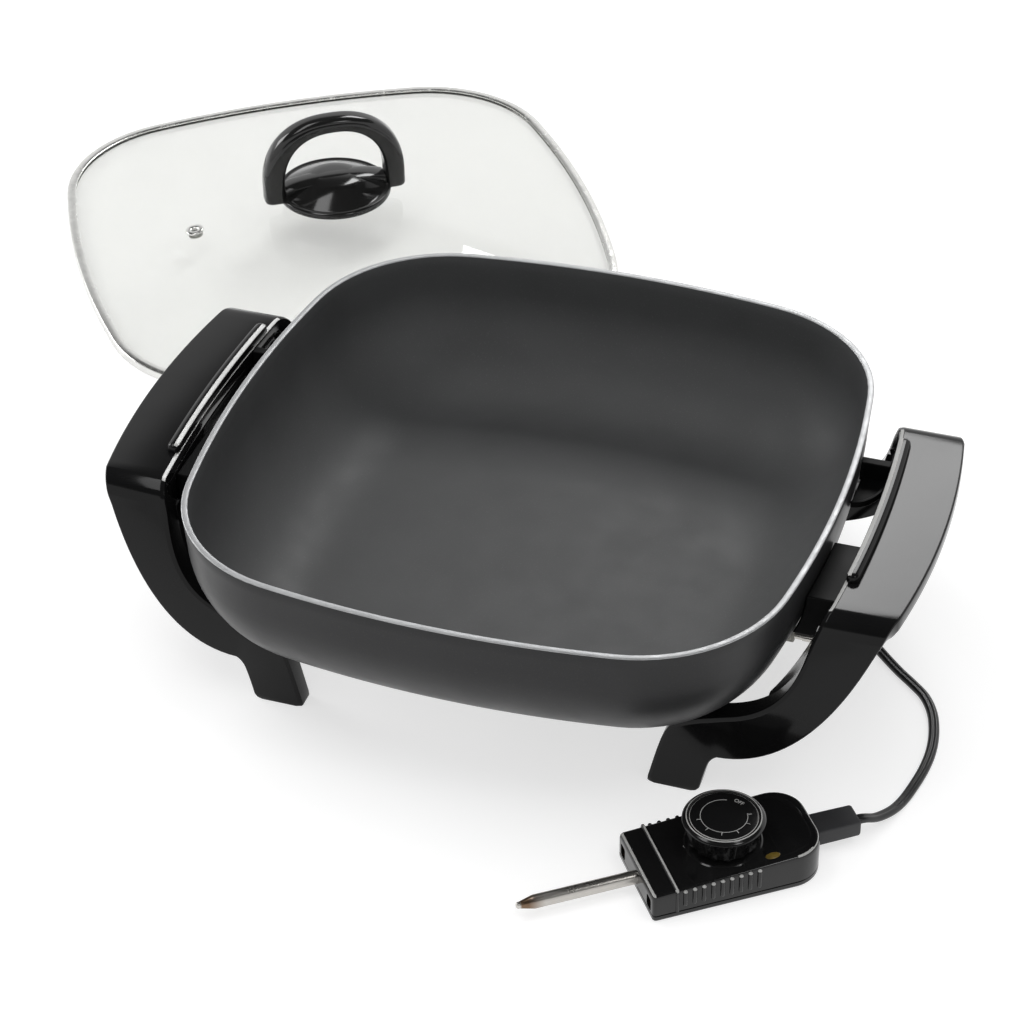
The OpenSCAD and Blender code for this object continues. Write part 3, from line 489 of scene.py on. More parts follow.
def floor_paint():
    """A plain floor that keeps shadows, lifted to white where it is looked at."""
    m = bpy.data.materials.new("studio_floor")
    m.use_nodes = True
    t = m.node_tree
    t.nodes.clear()
    grey = node(t, "BsdfDiffuse", {"Color": (FLOOR_GREY, FLOOR_GREY, FLOOR_GREY, 1)}, "BSDF")
    seen = seen_by(t, "Camera", "Glossy", "Transmission")
    level = node(t, "Math", {0: seen, 1: FLOOR_LIFT}, "Value", "MULTIPLY")
    glow = node(t, "Emission", {"Strength": level}, "Emission")
    both = node(t, "AddShader", {0: grey, 1: glow}, "Shader")
    put(t, t.nodes.new("ShaderNodeOutputMaterial").inputs["Surface"], both)
    return m


floor_mesh = bpy.data.meshes.new("floor")
corners = [(x * FLOOR_HALF, y * FLOOR_HALF, 0) for x, y in ((-1, -1), (1, -1), (1, 1), (-1, 1))]
floor_mesh.from_pydata(corners, [], [(0, 1, 2, 3)])
floor_mesh.materials.append(floor_paint())
floor = bpy.data.objects.new("floor", floor_mesh)
scene.collection.objects.link(floor)

# ---- sizes shared with the frame ----

PAN_HALF, RIM_Z, PAN_DEPTH = 140.0, 101.5, 65.0
SIDE_R, CORNER_R, BOWL_R, DRAFT, WALL_T, BOTTOM_T = 505.0, 69.0, 50.0, 0.08, 2.8, 4.0
PLUG_Z = 32.45
PIN_HALF, PIN_R = 15.5, 2.35
BAND_OUT, BAND_IN, BAND_Z, BAND_T, BAND_HALF = 184.0, 152.6, 92.5, 6.0, 65.0
OUT_BOW, IN_BOW, BEND_R, LEG_T, FOOT_T = 384.0, 681.0, 11.0, 11.0, 9.0
CONTROL_AT = Vector((94.0, -157.0, 0.0))
YAW = math.radians(36.7)
CONTROL_L, CONTROL_W, NOSE_H, TAIL_H = 77.5, 42.0, 13.5, 17.5
PROBE_L, PROBE_R, PROBE_Z = 52.0, 2.95, 6.75
DIAL_S, DIAL_R = 38.3, 17.4
LID_X, LID_Y, LID_YAW = -1.495 * PAN_HALF, 2.03 * PAN_HALF, 34.0
CORD_W, CORD_T = 4.8, 2.8

in_lid = shift(LID_X, LID_Y, 0) @ turn(LID_YAW, "Z")
in_control = shift(*CONTROL_AT) @ Matrix.Rotation(YAW, 4, "Z")


def top_z(s):
    """Height of the control's sloping top at distance s from its probe end."""
    return lerp(NOSE_H, TAIL_H, s / CONTROL_L)


SLOPE = math.degrees(math.atan((TAIL_H - NOSE_H) / CONTROL_L))
DIAL_Z = top_z(DIAL_S + DIAL_R) + 0.6


def from_control(s, z):
    return Vector((CONTROL_AT.x + s * math.cos(YAW), CONTROL_AT.y + s * math.sin(YAW), z))


# ---- cord: flat twin core from the control to a coil behind the pan, and its plug ----

RELIEF_L, RELIEF_Z = 20.5, 9.0
# Distance from the housing, half width and half height of each ring
RELIEF_STEPS = ((-0.3, 6.3, 3.9), (0.5, 6.3, 3.9), (0.6, 6.2, 3.8), (11, 6.1, 3.8),
                (19.7, 5.9, 3.85), (RELIEF_L, 5.5, 3.5))
RELIEF_END = CONTROL_L + RELIEF_L + 0.05
LAY = CORD_T / 2 + 0.2
COIL_X, COIL_Y, COIL_R, COIL_PITCH, COIL_TURNS = 60.0, 212.0, 31.5, CORD_W + 0.6, 2.5
COIL_LIFT, COIL_Z, COIL_TAIL = CORD_T + 0.7, CORD_T / 2 + 0.7, 22.0

route = [from_control(RELIEF_END, RELIEF_Z), from_control(RELIEF_END + 4, RELIEF_Z - 0.3),
         (180, -90.5, 5.5), (184.5, -82, 3)]
route += [(x, y, LAY) for x, y in (
    (187.5, -73), (190, -62), (191.8, -50), (192.2, -38), (190.8, -26), (187.5, -14), (182, -4),
    (175, 3), (167, 10), (157, 20), (147, 31), (138, 43), (130, 56), (123, 70), (118, 85),
    (114, 100), (110, 117), (105, 136), (100, 155), (95.6, 174), (92.4, 190))]
route += [(COIL_X + COIL_R, COIL_Y - 8, COIL_Z), (COIL_X + COIL_R, COIL_Y - CORD_W, COIL_Z)]


def coil_point(t):
    r = COIL_R - COIL_PITCH * min(t, COIL_TURNS - t)
    k = max(0, min(1, (t - COIL_TURNS / 2 + 0.25) / 0.5))
    return Vector((COIL_X + r * cosd(360 * t), COIL_Y + r * sind(360 * t),
                   COIL_Z + COIL_LIFT * k * k * (3 - 2 * k)))


COIL_STEPS = 48
plug_at = coil_point(COIL_TURNS) - Vector((0, COIL_TAIL, 0))
line = smooth(route, 6)
line += [coil_point(i / COIL_STEPS) for i in range(int(COIL_TURNS * COIL_STEPS) + 1)]
line += [coil_point(COIL_TURNS) - Vector((0, COIL_TAIL * k, 0)) for k in (0.25, 0.5, 0.75, 1)]


def twin_core(n=14):
    """Two round cores side by side with a shallow groove between them."""
    r, c = CORD_T / 2, (CORD_W - CORD_T) / 2
    neck = r * 0.86 * 0.9
    return (arc(c, 0, r, -112, 112, n - 1) + [(0, neck)]
            + arc(-c, 0, r, 68, 292, n - 1) + [(0, -neck)])


cord = make("power_cord", loft(along(line, twin_core())), VINYL, "control",
            replaces=("cord_free", "cord_coil"), slot="cord_black", sharp=60)

# Strain relief: a moulded block that tapers a little towards the cord
relief_rings = []
for s, half_w, half_h in RELIEF_STEPS:
    ring = [(CONTROL_L + s, t, RELIEF_Z + z) for t, z in rect(-half_w, half_w, -half_h, half_h)]
    relief_rings.append(fillet(ring, 0.9, 3))
relief = make("cord_relief", loft(relief_rings), RELIEF, "control", replaces=("strain_relief",),
              slot="cord_black", at=in_control, sharp=35)

# Plug: moulded body with a ribbed neck, as rings of y, width, height and corner radius
PLUG_T = 14.0
PLUG_NECK = [(-0.1, 7, 5, 2.2), (-1.0, 9, 7.4, 2.6)]
for i in range(4):
    y = -2.0 - 1.9 * i
    PLUG_NECK += [(y, 9.6, 8.4, 2.6), (y - 0.9, 9.6, 8.4, 2.6),
                  (y - 1.0, 8.4, 7.0, 2.4), (y - 1.8, 8.4, 7.0, 2.4)]
PLUG_BODY = [(-9.6, 13, 10, 3), (-12, 19, 12.4, 4), (-16, 23, 13.5, 4.5), (-24, 23.8, 13.8, 4.5),
             (-36.8, 23.8, 13.8, 4.2), (-37.7, 23.0, 13.0, 4.0), (-38.0, 21.6, 11.6, 3.6)]
in_plug = shift(plug_at.x, plug_at.y, PLUG_T / 2)


def plug_ring(y, w, h, r):
    return fillet([(x, y, z) for x, z in rect(-w / 2, w / 2, -h / 2, h / 2)], r, 4)


plug = make("cord_plug", loft([plug_ring(*row) for row in PLUG_NECK + PLUG_BODY]), VINYL, "control",
            replaces=("plug_body",), slot="cord_black", at=in_plug, sharp=38)

BLADE_X, BLADE_ROOT, BLADE_TIP, BLADE_HALF, BLADE_CUT = 6.35, -38, -53.6, 3.2, 1.4
blade_outline = [(BLADE_ROOT, -BLADE_HALF), (BLADE_TIP, -BLADE_HALF),
                 (BLADE_TIP - BLADE_CUT, BLADE_CUT - BLADE_HALF),
                 (BLADE_TIP - BLADE_CUT, BLADE_HALF - BLADE_CUT),
                 (BLADE_TIP, BLADE_HALF), (BLADE_ROOT, BLADE_HALF)]
blades = [loft([[(x + dx, y, z) for y, z in blade_outline] for dx in (-0.72, 0.72)])
          for x in (-BLADE_X, BLADE_X)]
plug_blades = make("plug_prongs", joined(*blades), NICKEL, "control", replaces=("plug_blades",),
                   slot="brass", at=in_plug, bevel=0.25)

# Tie: a thin strap wound round the turns
tie_in = COIL_R - COIL_PITCH * COIL_TURNS / 2 - CORD_W / 2 - 0.15
tie_out = COIL_R + CORD_W / 2 + 0.15
tie_high = COIL_Z + COIL_LIFT + CORD_T / 2 + 0.25
tie_rings = []
for grow, y in ((0, -2.7), (0, 2.7), (0.5, 2.9), (0.5, -2.9)):
    ring = [(x + (grow if x > (tie_in + tie_out) / 2 else -grow), y,
             z + (grow if z > 2 else -0.6 * grow))
            for x, z in rect(tie_in, tie_out, 0.35, tie_high)]
    tie_rings.append(fillet(ring, 1.2, 4))
tie = make("coil_strap", loft(tie_rings, closed=True), RELIEF, "control", replaces=("coil_tie",),
           slot="cord_black", at=shift(COIL_X, COIL_Y, 0) @ turn(90, "Z"), sharp=50)

# ---- pan ----

SIDE_STEPS, CORNER_STEPS = 10, 14


def bowed(a, r, rc, e):
    """A square with bowed sides and round corners, drawn in by e."""
    c = ((a - r) + math.sqrt(2 * (r - rc) ** 2 - (a - r) ** 2)) / 2
    bend = math.degrees(math.atan2(c, c - (a - r)))
    quarter = []
    for i in range(SIDE_STEPS):
        t = bend * i / SIDE_STEPS
        quarter.append((a - r + (r - e) * cosd(t), (r - e) * sind(t)))
    for i in range(CORNER_STEPS):
        t = lerp(bend, 90 - bend, i / CORNER_STEPS)
        quarter.append((c + (rc - e) * cosd(t), c + (rc - e) * sind(t)))
    for i in range(SIDE_STEPS):
        t = bend * (1 - i / SIDE_STEPS)
        quarter.append(((r - e) * sind(t), a - r + (r - e) * cosd(t)))
    out = list(quarter)
    for k in range(3):
        quarter = [(-y, x) for x, y in quarter]
        out += quarter
    return out


def pan_ring(e, z, k=1.0):
    return [(x * k, y * k, z) for x, y in bowed(PAN_HALF, SIDE_R, CORNER_R, e)]


def bowl(inset, depth, r, n=14):
    """Rings from the bottom's edge up to just under the rim."""
    return [(inset + DRAFT * (depth - r) + r * (1 - sind(a)), RIM_Z - depth + r * (1 - cosd(a)))
            for a in spread(0, 90, n)] + [(inset + DRAFT * 6, RIM_Z - 6), (inset, RIM_Z - 0.4)]


def flat_rings(e, z, ks=(0.04, 0.2, 0.4, 0.6, 0.8, 0.93)):
    return [pan_ring(e, z, k) for k in ks]


LIP_SOFT = 0.4  # rounding of the rim's edges
outer = bowl(0, PAN_DEPTH, BOWL_R)
inner = bowl(WALL_T, PAN_DEPTH - BOTTOM_T, BOWL_R - WALL_T)
lip = ((0.12, RIM_Z - 0.12), (LIP_SOFT, RIM_Z), (WALL_T / 2, RIM_Z), (WALL_T - LIP_SOFT, RIM_Z),
       (WALL_T - 0.12, RIM_Z - 0.12))
pan_rings = flat_rings(*outer[0]) + [pan_ring(e, z) for e, z in (*outer, *lip, *reversed(inner))]
pan_rings += list(reversed(flat_rings(*inner[0])))
pan = make("skillet_pan", loft(pan_rings), [PAN_OUT, BARE, PAN_IN], "skillet", replaces=("pan",),
           slot="nonstick", sharp=50)
for face in pan.data.polygons:
    c = face.center / MM
    if c.z > RIM_Z - LIP_SOFT - 0.02 and face.normal.z > 0.3:
        face.material_index = 1
    else:
        toward = Vector((c.x, c.y, 0)).dot(face.normal)
        inside = toward < -1e-6 or (abs(toward) <= 1e-6 and face.normal.z > 0)
        face.material_index = 2 if (face.normal.z > 0.2 or inside) else 0

# ---- heater, socket and pins under the pan ----

ELEMENT_HALF, ELEMENT_TURN, ELEMENT_END, ELEMENT_R = 76.0, 30.0, 118.0, 4.0


def bend_points(cx, cy, r, a, b, n=10):
    return [Vector((x, y, PLUG_Z)) for x, y in arc(cx, cy, r, a, b, n)]


h, tr, out_r = ELEMENT_HALF, ELEMENT_TURN, 12.0  # out_r: bend of the ends towards the pins
element = [Vector((ELEMENT_END, -PIN_HALF, PLUG_Z))]
for row in ((h + out_r, -PIN_HALF - out_r, out_r, 90, 180), (h - tr, tr - h, tr, 0, -90),
            (tr - h, tr - h, tr, -90, -180), (tr - h, h - tr, tr, 180, 90),
            (h - tr, h - tr, tr, 90, 0), (h + out_r, PIN_HALF + out_r, out_r, 180, 270)):
    element += bend_points(*row)
element += [Vector((ELEMENT_END, PIN_HALF, PLUG_Z))]
make("tube_element", loft(along(element, circle(ELEMENT_R, 20))), SHEATH, "skillet",
     replaces=("heating_element",), slot="element_steel", sharp=50)

PIN_PROFILE = [(0, 0), (2, 0), (2, 10), (PIN_R, 10), (PIN_R, 27.8), (2.2, 28.8), (1.7, 29.6),
               (0.8, 30), (0, 30)]
COLLAR_PROFILE = [(2.06, 0.2), (3.4, 0.2), (3.7, 0.5), (3.7, 5.9), (3.4, 6.2), (2.06, 6.2)]
pins, collars = [], []
for y in (-PIN_HALF, PIN_HALF):
    place = shift(ELEMENT_END, y, PLUG_Z) @ turn(90, "Y")
    pins.append(moved(lathe(PIN_PROFILE, 40), place))
    collars.append(moved(lathe(COLLAR_PROFILE, 40, closed=True), place))
make("socket_pins", joined(*pins), NICKEL, "skillet", replaces=("terminal_pins",),
     slot="plain_steel", sharp=40)
make("pin_collars", joined(*collars), CERAMIC, "skillet", replaces=("terminal_insulators",),
     slot="ceramic", sharp=40)

# ---- handles ----

LEG_OUT = [(33.4, 10.6, 84.5), (26, 17, 66), (8, 29, 24), (-30, 27.3, 21)]
LEG_IN = [(5.6, 10.6, 84.5), (2, 17, 70), (0, 23, 48), (-28, 26, 43)]
FOOT_OUT = [(-26, 27.6, 22.2), (-30, 27.3, 21), (-33.2, 27.5, 17.5), (-35.3, 27.5, 10),
            (-36.6, 27.5, 4)]
FOOT_IN = [(-20, 25.6, 42.8), (-30, 26, 42.2), (-44, 27.3, 38), (-53, 27.5, 30), (-60.1, 27.5, 3)]
FOOT_STEPS = 5
SOLE_OUT = smooth(FOOT_OUT, FOOT_STEPS)[FOOT_STEPS + 1:]
SOLE_IN = smooth(FOOT_IN, FOOT_STEPS)[FOOT_STEPS + 1:]
SOLE_T = [lerp(LEG_T, FOOT_T, i / (len(SOLE_OUT) - 1)) for i in range(len(SOLE_OUT))]
TOE_X, TOE_SOFT = -60.5, 1.5
HEEL_X, FOOT_Y, HEEL_Z = FOOT_OUT[-1]
for a in (30, 60, 90):
    SOLE_OUT.append(Vector((HEEL_X - 3.2 * (1 - cosd(a)), FOOT_Y, HEEL_Z * (1 - sind(a)))))
    SOLE_IN.append(Vector((TOE_X + TOE_SOFT * (1 - cosd(a)), FOOT_Y, TOE_SOFT * (1 - sind(a)))))
    SOLE_T.append(FOOT_T)


def leg_at(p):
    return Vector((PAN_HALF + p[0], BAND_HALF + p[1], p[2]))


def band_x(x, bow, y):
    return x - y * y / (2 * bow)


def section(o, i, lean, t):
    n = Vector((0, sind(lean), cosd(lean))) * t
    o, i = Vector(o), Vector(i)
    return [o, o - n, i - n, i]


LEAN = 75  # how far the bend turns before the leg goes on
half_handle = []
for y in spread(0, BAND_HALF, 14):
    half_handle.append(section((band_x(BAND_OUT, OUT_BOW, y), y, BAND_Z),
                               (band_x(BAND_IN, IN_BOW, y), y, BAND_Z), 0, BAND_T))
ox, ix = band_x(BAND_OUT, OUT_BOW, BAND_HALF), band_x(BAND_IN, IN_BOW, BAND_HALF)
for a in spread(0, LEAN, 12)[1:]:
    y, z = BAND_HALF + BEND_R * sind(a), BAND_Z - BEND_R * (1 - cosd(a))
    half_handle.append(section((lerp(ox, leg_at(LEG_OUT[0]).x, a / 80), y, z),
                               (lerp(ix, leg_at(LEG_IN[0]).x, a / 80), y, z), a,
                               lerp(BAND_T, LEG_T, a / LEAN)))
for k in spread(0, 1, 30)[2:]:
    half_handle.append(section(leg_at(bezier(LEG_OUT, k)), leg_at(bezier(LEG_IN, k)),
                               lerp(LEAN, 90, min(1, k * 5)), LEG_T))
for sole in zip(SOLE_OUT, SOLE_IN, SOLE_T):
    half_handle.append(section(leg_at(sole[0]), leg_at(sole[1]), 90, sole[2]))


CHAMFER_W, CHAMFER_D = 1.8, 0.65  # slope along the inner edge of the band and legs


def handle_ring(four):
    o, o_low, i_low, i = [Vector(p) for p in four]
    down, out_way = (i_low - i).normalized(), (o - i).normalized()
    five = [o, o_low, i_low, i + down * CHAMFER_D, i + out_way * CHAMFER_W]
    return fillet(five, [1.3, 0.8, 0.8, 0.3, 0.4], 3)


def flipped(four):
    return [Vector((p.x, -p.y, p.z)) for p in four]


handle_rings = [handle_ring(flipped(s)) for s in reversed(half_handle)]
handle_rings += [handle_ring(s) for s in half_handle[1:]]


def ridge(x, y0, y1, z, r, n=36):
    """A ridge with a flat crown, a slope towards the pan and rounded ends."""
    rings = []
    nose = [r * (1 - sind(a)) for a in spread(0, 80, 8)]
    stations = spread(y0 + 2 * r, y1 - 2 * r, n)
    for y in [y0 + e for e in reversed(nose)] + stations + [y1 - e for e in nose]:
        end = max(0.0, 1 - min(y - y0, y1 - y) / r)
        k = math.sqrt(max(0.0, 1 - end * end))
        cx = band_x(x, IN_BOW, y)
        shape = [(-1, 0), (-0.93, 1.01), (-0.27, 1.25), (0.27, 1.26), (0.84, 0.98), (0.99, 0)]
        ring = [(cx + r * k * u, y, z + r * k ** 0.6 * v) for u, v in shape]
        rings.append(fillet(ring, [0.05, 0.45 * k, 0.3 * k, 0.5 * k, 0.6 * k, 0.05], 3))
    return loft(rings)


FLANGE_T, FLANGE_D, BEAD_R = 3.0, 14.0, 3.0
LINER_T, LINER_H = 3.6, 22.0
LINER_TOP = BAND_Z - BAND_T - 0.05
liner_edge = rect(LINER_T / 2, -LINER_T / 2, LINER_H / 2, -LINER_H / 2)
liner_ring = fillet([(x, z, 0) for x, z in liner_edge], 0.9, 3)
liner_path = [Vector((band_x(BAND_IN + LINER_T / 2, IN_BOW, y), y, LINER_TOP - LINER_H / 2))
              for y in spread(4.2 - BAND_HALF, BAND_HALF - 4.2, 28)]
liner = loft(along(liner_path, liner_ring))
bead = ridge(BAND_IN + BEAD_R + 0.2, 17 - BAND_HALF, BAND_HALF - 8, BAND_Z + 0.02, BEAD_R)


def flange(front, n=20):
    """Web that runs back from a leg along its inner edge."""
    rings = []
    for u in spread(0, 1, n):
        p = leg_at(bezier(LEG_IN, 0.1 + 0.66 * u))
        y0, y1 = p.y - LEG_T + 1, p.y - LEG_T - 3 - FLANGE_D * sind(180 * u)
        ring = [(x, y, p.z) for x, y in rect(p.x, p.x + FLANGE_T, front * y0, front * y1)]
        rings.append(fillet(ring, [0.1, 0.1, 0.9, 0.9], 3))
    return loft(rings)


def wall_inset(d):
    """How far the pan's wall is drawn in at depth d."""
    s = PAN_DEPTH - BOWL_R
    return DRAFT * d if d < s else DRAFT * s + BOWL_R - math.sqrt(BOWL_R ** 2 - (d - s) ** 2)


def wall_x(y, d):
    """The wall's outside at depth d, in x."""
    return PAN_HALF - SIDE_R + math.sqrt((SIDE_R - wall_inset(d)) ** 2 - y * y)


def arm(y0, y1, z1, z0):
    """A bracket from the pan's wall out to the skirt, following the wall's curve."""
    far = max(abs(y0), abs(y1))
    rings = []
    for z in spread(z0, z1, 6):
        o = BAND_IN - far * far / (2 * IN_BOW) - 0.05
        ring = [(o, y, z) for y in spread(y0, y1, 8)]
        ring += [(wall_x(y, RIM_Z - z) + 0.25, y, z) for y in spread(y1, y0, 8)]
        rings.append(ring)
    return loft(rings)


BRACKET_TOP, BRACKET_LOW = RIM_Z - 16, RIM_Z - 37
BAR_Z, BAR_T, BAR_Y0, BAR_Y1, TAB_Y1 = RIM_Z - 9.6, 10.0, 38.0, 42.5, 50.0
GUSSET_T, GUSSET_Y = 3.0, 17.0
FRONT_Y0, FRONT_Y1 = -53, -13
front_arm = arm(FRONT_Y0, FRONT_Y1, BRACKET_TOP, BRACKET_LOW)
rear_arm = arm(BAR_Y0, BAR_Y1, BAR_Z, BAR_Z - BAR_T)

gx0 = wall_x(BAR_Y0, RIM_Z - BAR_Z + BAR_T) + 1.3
gx1 = BAND_IN - BAR_Y1 ** 2 / (2 * IN_BOW) - 0.05
reach = BAR_Y0 - GUSSET_Y


def web_line(shrink, n=24):
    """The gusset's free edge, a quarter ellipse, drawn in by shrink."""
    return [(gx0 + (gx1 - gx0 - shrink) * sind(a), BAR_Y0 - (reach - shrink) * cosd(a))
            for a in spread(0, 90, n)]


web_z = BAR_Z - BAR_T
web = slab([(gx0, BAR_Y0 + 1)] + web_line(0.8) + [(gx1, BAR_Y0 + 1)], web_z + 0.2, web_z + 1.7)
web_edge = slab(web_line(0) + list(reversed(web_line(1.7))), web_z, web_z + GUSSET_T)
tab_x = BAND_IN - TAB_Y1 ** 2 / (2 * IN_BOW) - 4.05
tab = slab(rect(tab_x, tab_x + 4, BAR_Y0, TAB_Y1), web_z - 12, web_z + 0.5)


def on_band_edge(c, n):
    """The chamfer along the band's inner edge, which takes a painted highlight."""
    return (n.z > 0.7 and n.x < -0.2 and c.z > BAND_Z - 1.2 and c.x < BAND_IN + 1.2
            and abs(c.y) < BAND_HALF + 2)


# Faces on the bead's slope towards the pan, which take a painted highlight
def on_ridge_slope(c, n):
    return n.z > 0.85 and -0.6 < n.x < -0.15


mirror_x = Matrix.Scale(-1, 4, (1, 0, 0))
# Piece, shape, material, node it replaces, slot, edges, faces that get the painted highlight
SIDE_PIECES = (
    ("grip_", joined(loft(handle_rings), flange(1), flange(-1)), GRIP, "handle_", "handle_black",
     {"sharp": 28}, on_band_edge),
    ("skirt_", liner, GRIP, "handle_liner_", "handle_black", {"sharp": 40}, None),
    ("bead_", bead, GRIP, "grip_bead_", "handle_black", {"sharp": 60}, on_ridge_slope),
    ("front_arm_", front_arm, ARM, "front_bracket_", "gloss_black",
     {"bevel": 0.7, "bevel_steps": 3}, None),
    ("rear_arm_", joined(rear_arm, web, web_edge, tab), ARM, "rear_bracket_", "gloss_black",
     {"bevel": 0.5}, None))
for word, place in (("right", Matrix.Identity(4)), ("left", mirror_x)):
    for name, shape, material, replaced, slot, edges, highlit_faces in SIDE_PIECES:
        piece = make(name + word, shape, material, "skillet", replaces=(replaced + word,),
                     slot=slot, at=place, **edges)
        # Painted highlight: the chosen faces get the light grey highlight material
        if highlit_faces:
            repaint(piece, PAINTED_HIGHLIGHT, highlit_faces, place)

# Screws through the skirts into the brackets, with a small hole in each head
SCREW_PROFILE = [(0, 1.2), (0.5, 1.2), (0.5, 2.0), (2.2, 1.95), (2.9, 1.5), (3.2, 0.7), (3.2, 0.02),
                 (1.5, 0), (1.5, -11.5), (0.6, -12), (0, -12)]
SCREW_AT = (((FRONT_Y0 + FRONT_Y1) / 2, (BRACKET_TOP + BRACKET_LOW) / 2), (44, web_z - 6))
screws = []
for hand in (Matrix.Identity(4), mirror_x):
    for y, z in SCREW_AT:
        x = BAND_IN - y * y / (2 * IN_BOW) + LINER_T + 0.15
        screws.append(moved(lathe(SCREW_PROFILE, 36), hand @ shift(x, y, z) @ turn(90, "Y")))
make("skirt_screws", joined(*screws), SCREW, "skillet", replaces=("handle_screws",),
     slot="plain_steel", sharp=35)

# ---- lid ----

LID_OVER = 2.8
LID_HALF = PAN_HALF + LID_OVER
LID_FLAT, RIM_METAL, GLASS_T, LID_RIM_H, DOME_H = 6.5, 0.8, 2.8, 4.6, 17.5
GLASS_LOW = RIM_METAL + 0.1
GLASS_FLAT = GLASS_LOW + GLASS_T
HOLE_R = 4.0
VENT_X = 78.0


def lid_ring(e, z, k=1.0):
    return [(x * k, y * k, z)
            for x, y in bowed(LID_HALF, SIDE_R + LID_OVER, CORNER_R + LID_OVER, e)]


def dome(k):
    """Height of the dome at share k of the way out."""
    return DOME_H * (1 - k ** 1.6)


def dome_rings(z):
    """Rings from the knob's round hole out to the flat edge."""
    first = []
    for x, y, _ in lid_ring(LID_FLAT, 0):
        d = math.hypot(x, y)
        first.append((x / d * HOLE_R, y / d * HOLE_R, z + dome(HOLE_R / LID_HALF)))
    ks = [0.08, 0.14, 0.2, 0.27, 0.34, 0.41, 0.48, 0.55, 0.62, 0.68, 0.74, 0.8, 0.85, 0.9, 0.94,
          0.97, 1]
    return [first] + [lid_ring(LID_FLAT, z + dome(k), k) for k in ks]


edge = ((0.5, GLASS_LOW), (0.2, GLASS_LOW + 0.3), (0.2, GLASS_FLAT - 0.3), (0.5, GLASS_FLAT))
glass_rings = dome_rings(GLASS_LOW) + [lid_ring(RIM_METAL + e, z) for e, z in edge]
glass_rings += list(reversed(dome_rings(GLASS_FLAT)))
make("lid_pane", loft(glass_rings, closed=True), lid_glass_paint(), "lid",
     replaces=("lid_glass",), slot="lid_glass", at=in_lid, sharp=60)

LIP_W = 5.0  # width of the steel over the glass
hem = [(0.9, 0.0), (0.35, 0.25), (0.08, 0.8), (0.0, LID_RIM_H / 2), (0.08, LID_RIM_H - 0.8),
       (0.35, LID_RIM_H - 0.25), (0.9, LID_RIM_H), (LIP_W - 0.5, LID_RIM_H),
       (LIP_W, LID_RIM_H - 0.2), (LIP_W, GLASS_FLAT + 0.12), (RIM_METAL, GLASS_FLAT + 0.1),
       (RIM_METAL, GLASS_LOW - 0.1), (LIP_W, GLASS_LOW - 0.12), (LIP_W, 0.2), (LIP_W - 0.5, 0.0)]
make("lid_hem", loft([lid_ring(e, z) for e, z in hem], closed=True), STEEL, "lid",
     replaces=("lid_rim",), slot="lid_steel", at=in_lid, sharp=40)


def glass_top(x):
    return GLASS_FLAT + dome(x / (LID_HALF - LID_FLAT))


VENT_PROFILE = [(1.5, -3.7), (3.9, -3.7), (3.9, -3.15), (2.35, -3.0), (2.35, 0.5), (4.7, 0.6),
                (5.0, 0.85), (4.9, 1.25), (4.3, 1.6), (2.5, 1.6), (1.75, 1.3), (1.5, 0.8)]
make("vent_eyelet", lathe(VENT_PROFILE, 64, closed=True), STEEL, "lid", replaces=("vent_grommet",),
     slot="lid_steel", at=in_lid @ shift(-VENT_X, 0, glass_top(VENT_X)) @ turn(-8, "Y"), sharp=50)

KNOB_W, ARCH_H, KNOB_R, ARCH_Z = 78.0, 47.0, 30.7, 26.0
ARCH_DEPTH, ARCH_TOP, STRAIGHT = 12.6, 8.0, 8.0  # STRAIGHT: the upright stretch of each side
EDGE_Z, GASKET_T = 26.0, 1.4
SEAT = dome(HOLE_R / LID_HALF)
GASKET_Z = GLASS_FLAT + SEAT + 0.02
KNOB_Z = GASKET_Z + GASKET_T
ARCH_IN = KNOB_R - 2.7
ARCH_POWER = 0.85  # under 1 makes the arch squarer than an ellipse
ARCH_SOFT = [5.0, 2.2, 2.2, 5.0]  # rounding of the arch's outer and inner edges


def arch_ring(x, z, x_in, z_in, half):
    """One section of the arch, from its outer point to its inner point."""
    return fillet([(x, -half, z), (x_in, -half, z_in), (x_in, half, z_in), (x, half, z)],
                  ARCH_SOFT, 6)


def arch_end(side):
    """Sections down one side to its rounded foot."""
    return [arch_ring(side * (KNOB_W / 2 - draw), z, side * (ARCH_IN + 0.5 * draw), z,
                      ARCH_DEPTH / 2 - draw)
            for z, draw in ((ARCH_Z + STRAIGHT * 0.5, 0), (ARCH_Z + 1.6, 0), (ARCH_Z + 0.5, 0.35),
                            (ARCH_Z, 1.2))]


arch_rings = list(reversed(arch_end(1)))
for a in spread(0, 180, 72):
    across = math.copysign(abs(cosd(a)) ** ARCH_POWER, cosd(a))
    high = abs(sind(a)) ** ARCH_POWER
    arch_rings.append(arch_ring(
        KNOB_W / 2 * across, ARCH_Z + STRAIGHT + (ARCH_H - STRAIGHT) * high,
        ARCH_IN * across, ARCH_Z + STRAIGHT + (ARCH_H - STRAIGHT - ARCH_TOP) * high,
        ARCH_DEPTH / 2))
make("knob_loop", loft(arch_rings + arch_end(-1)), KNOB, "lid", replaces=("knob_arch",),
     slot="gloss_black", at=in_lid, sharp=40)

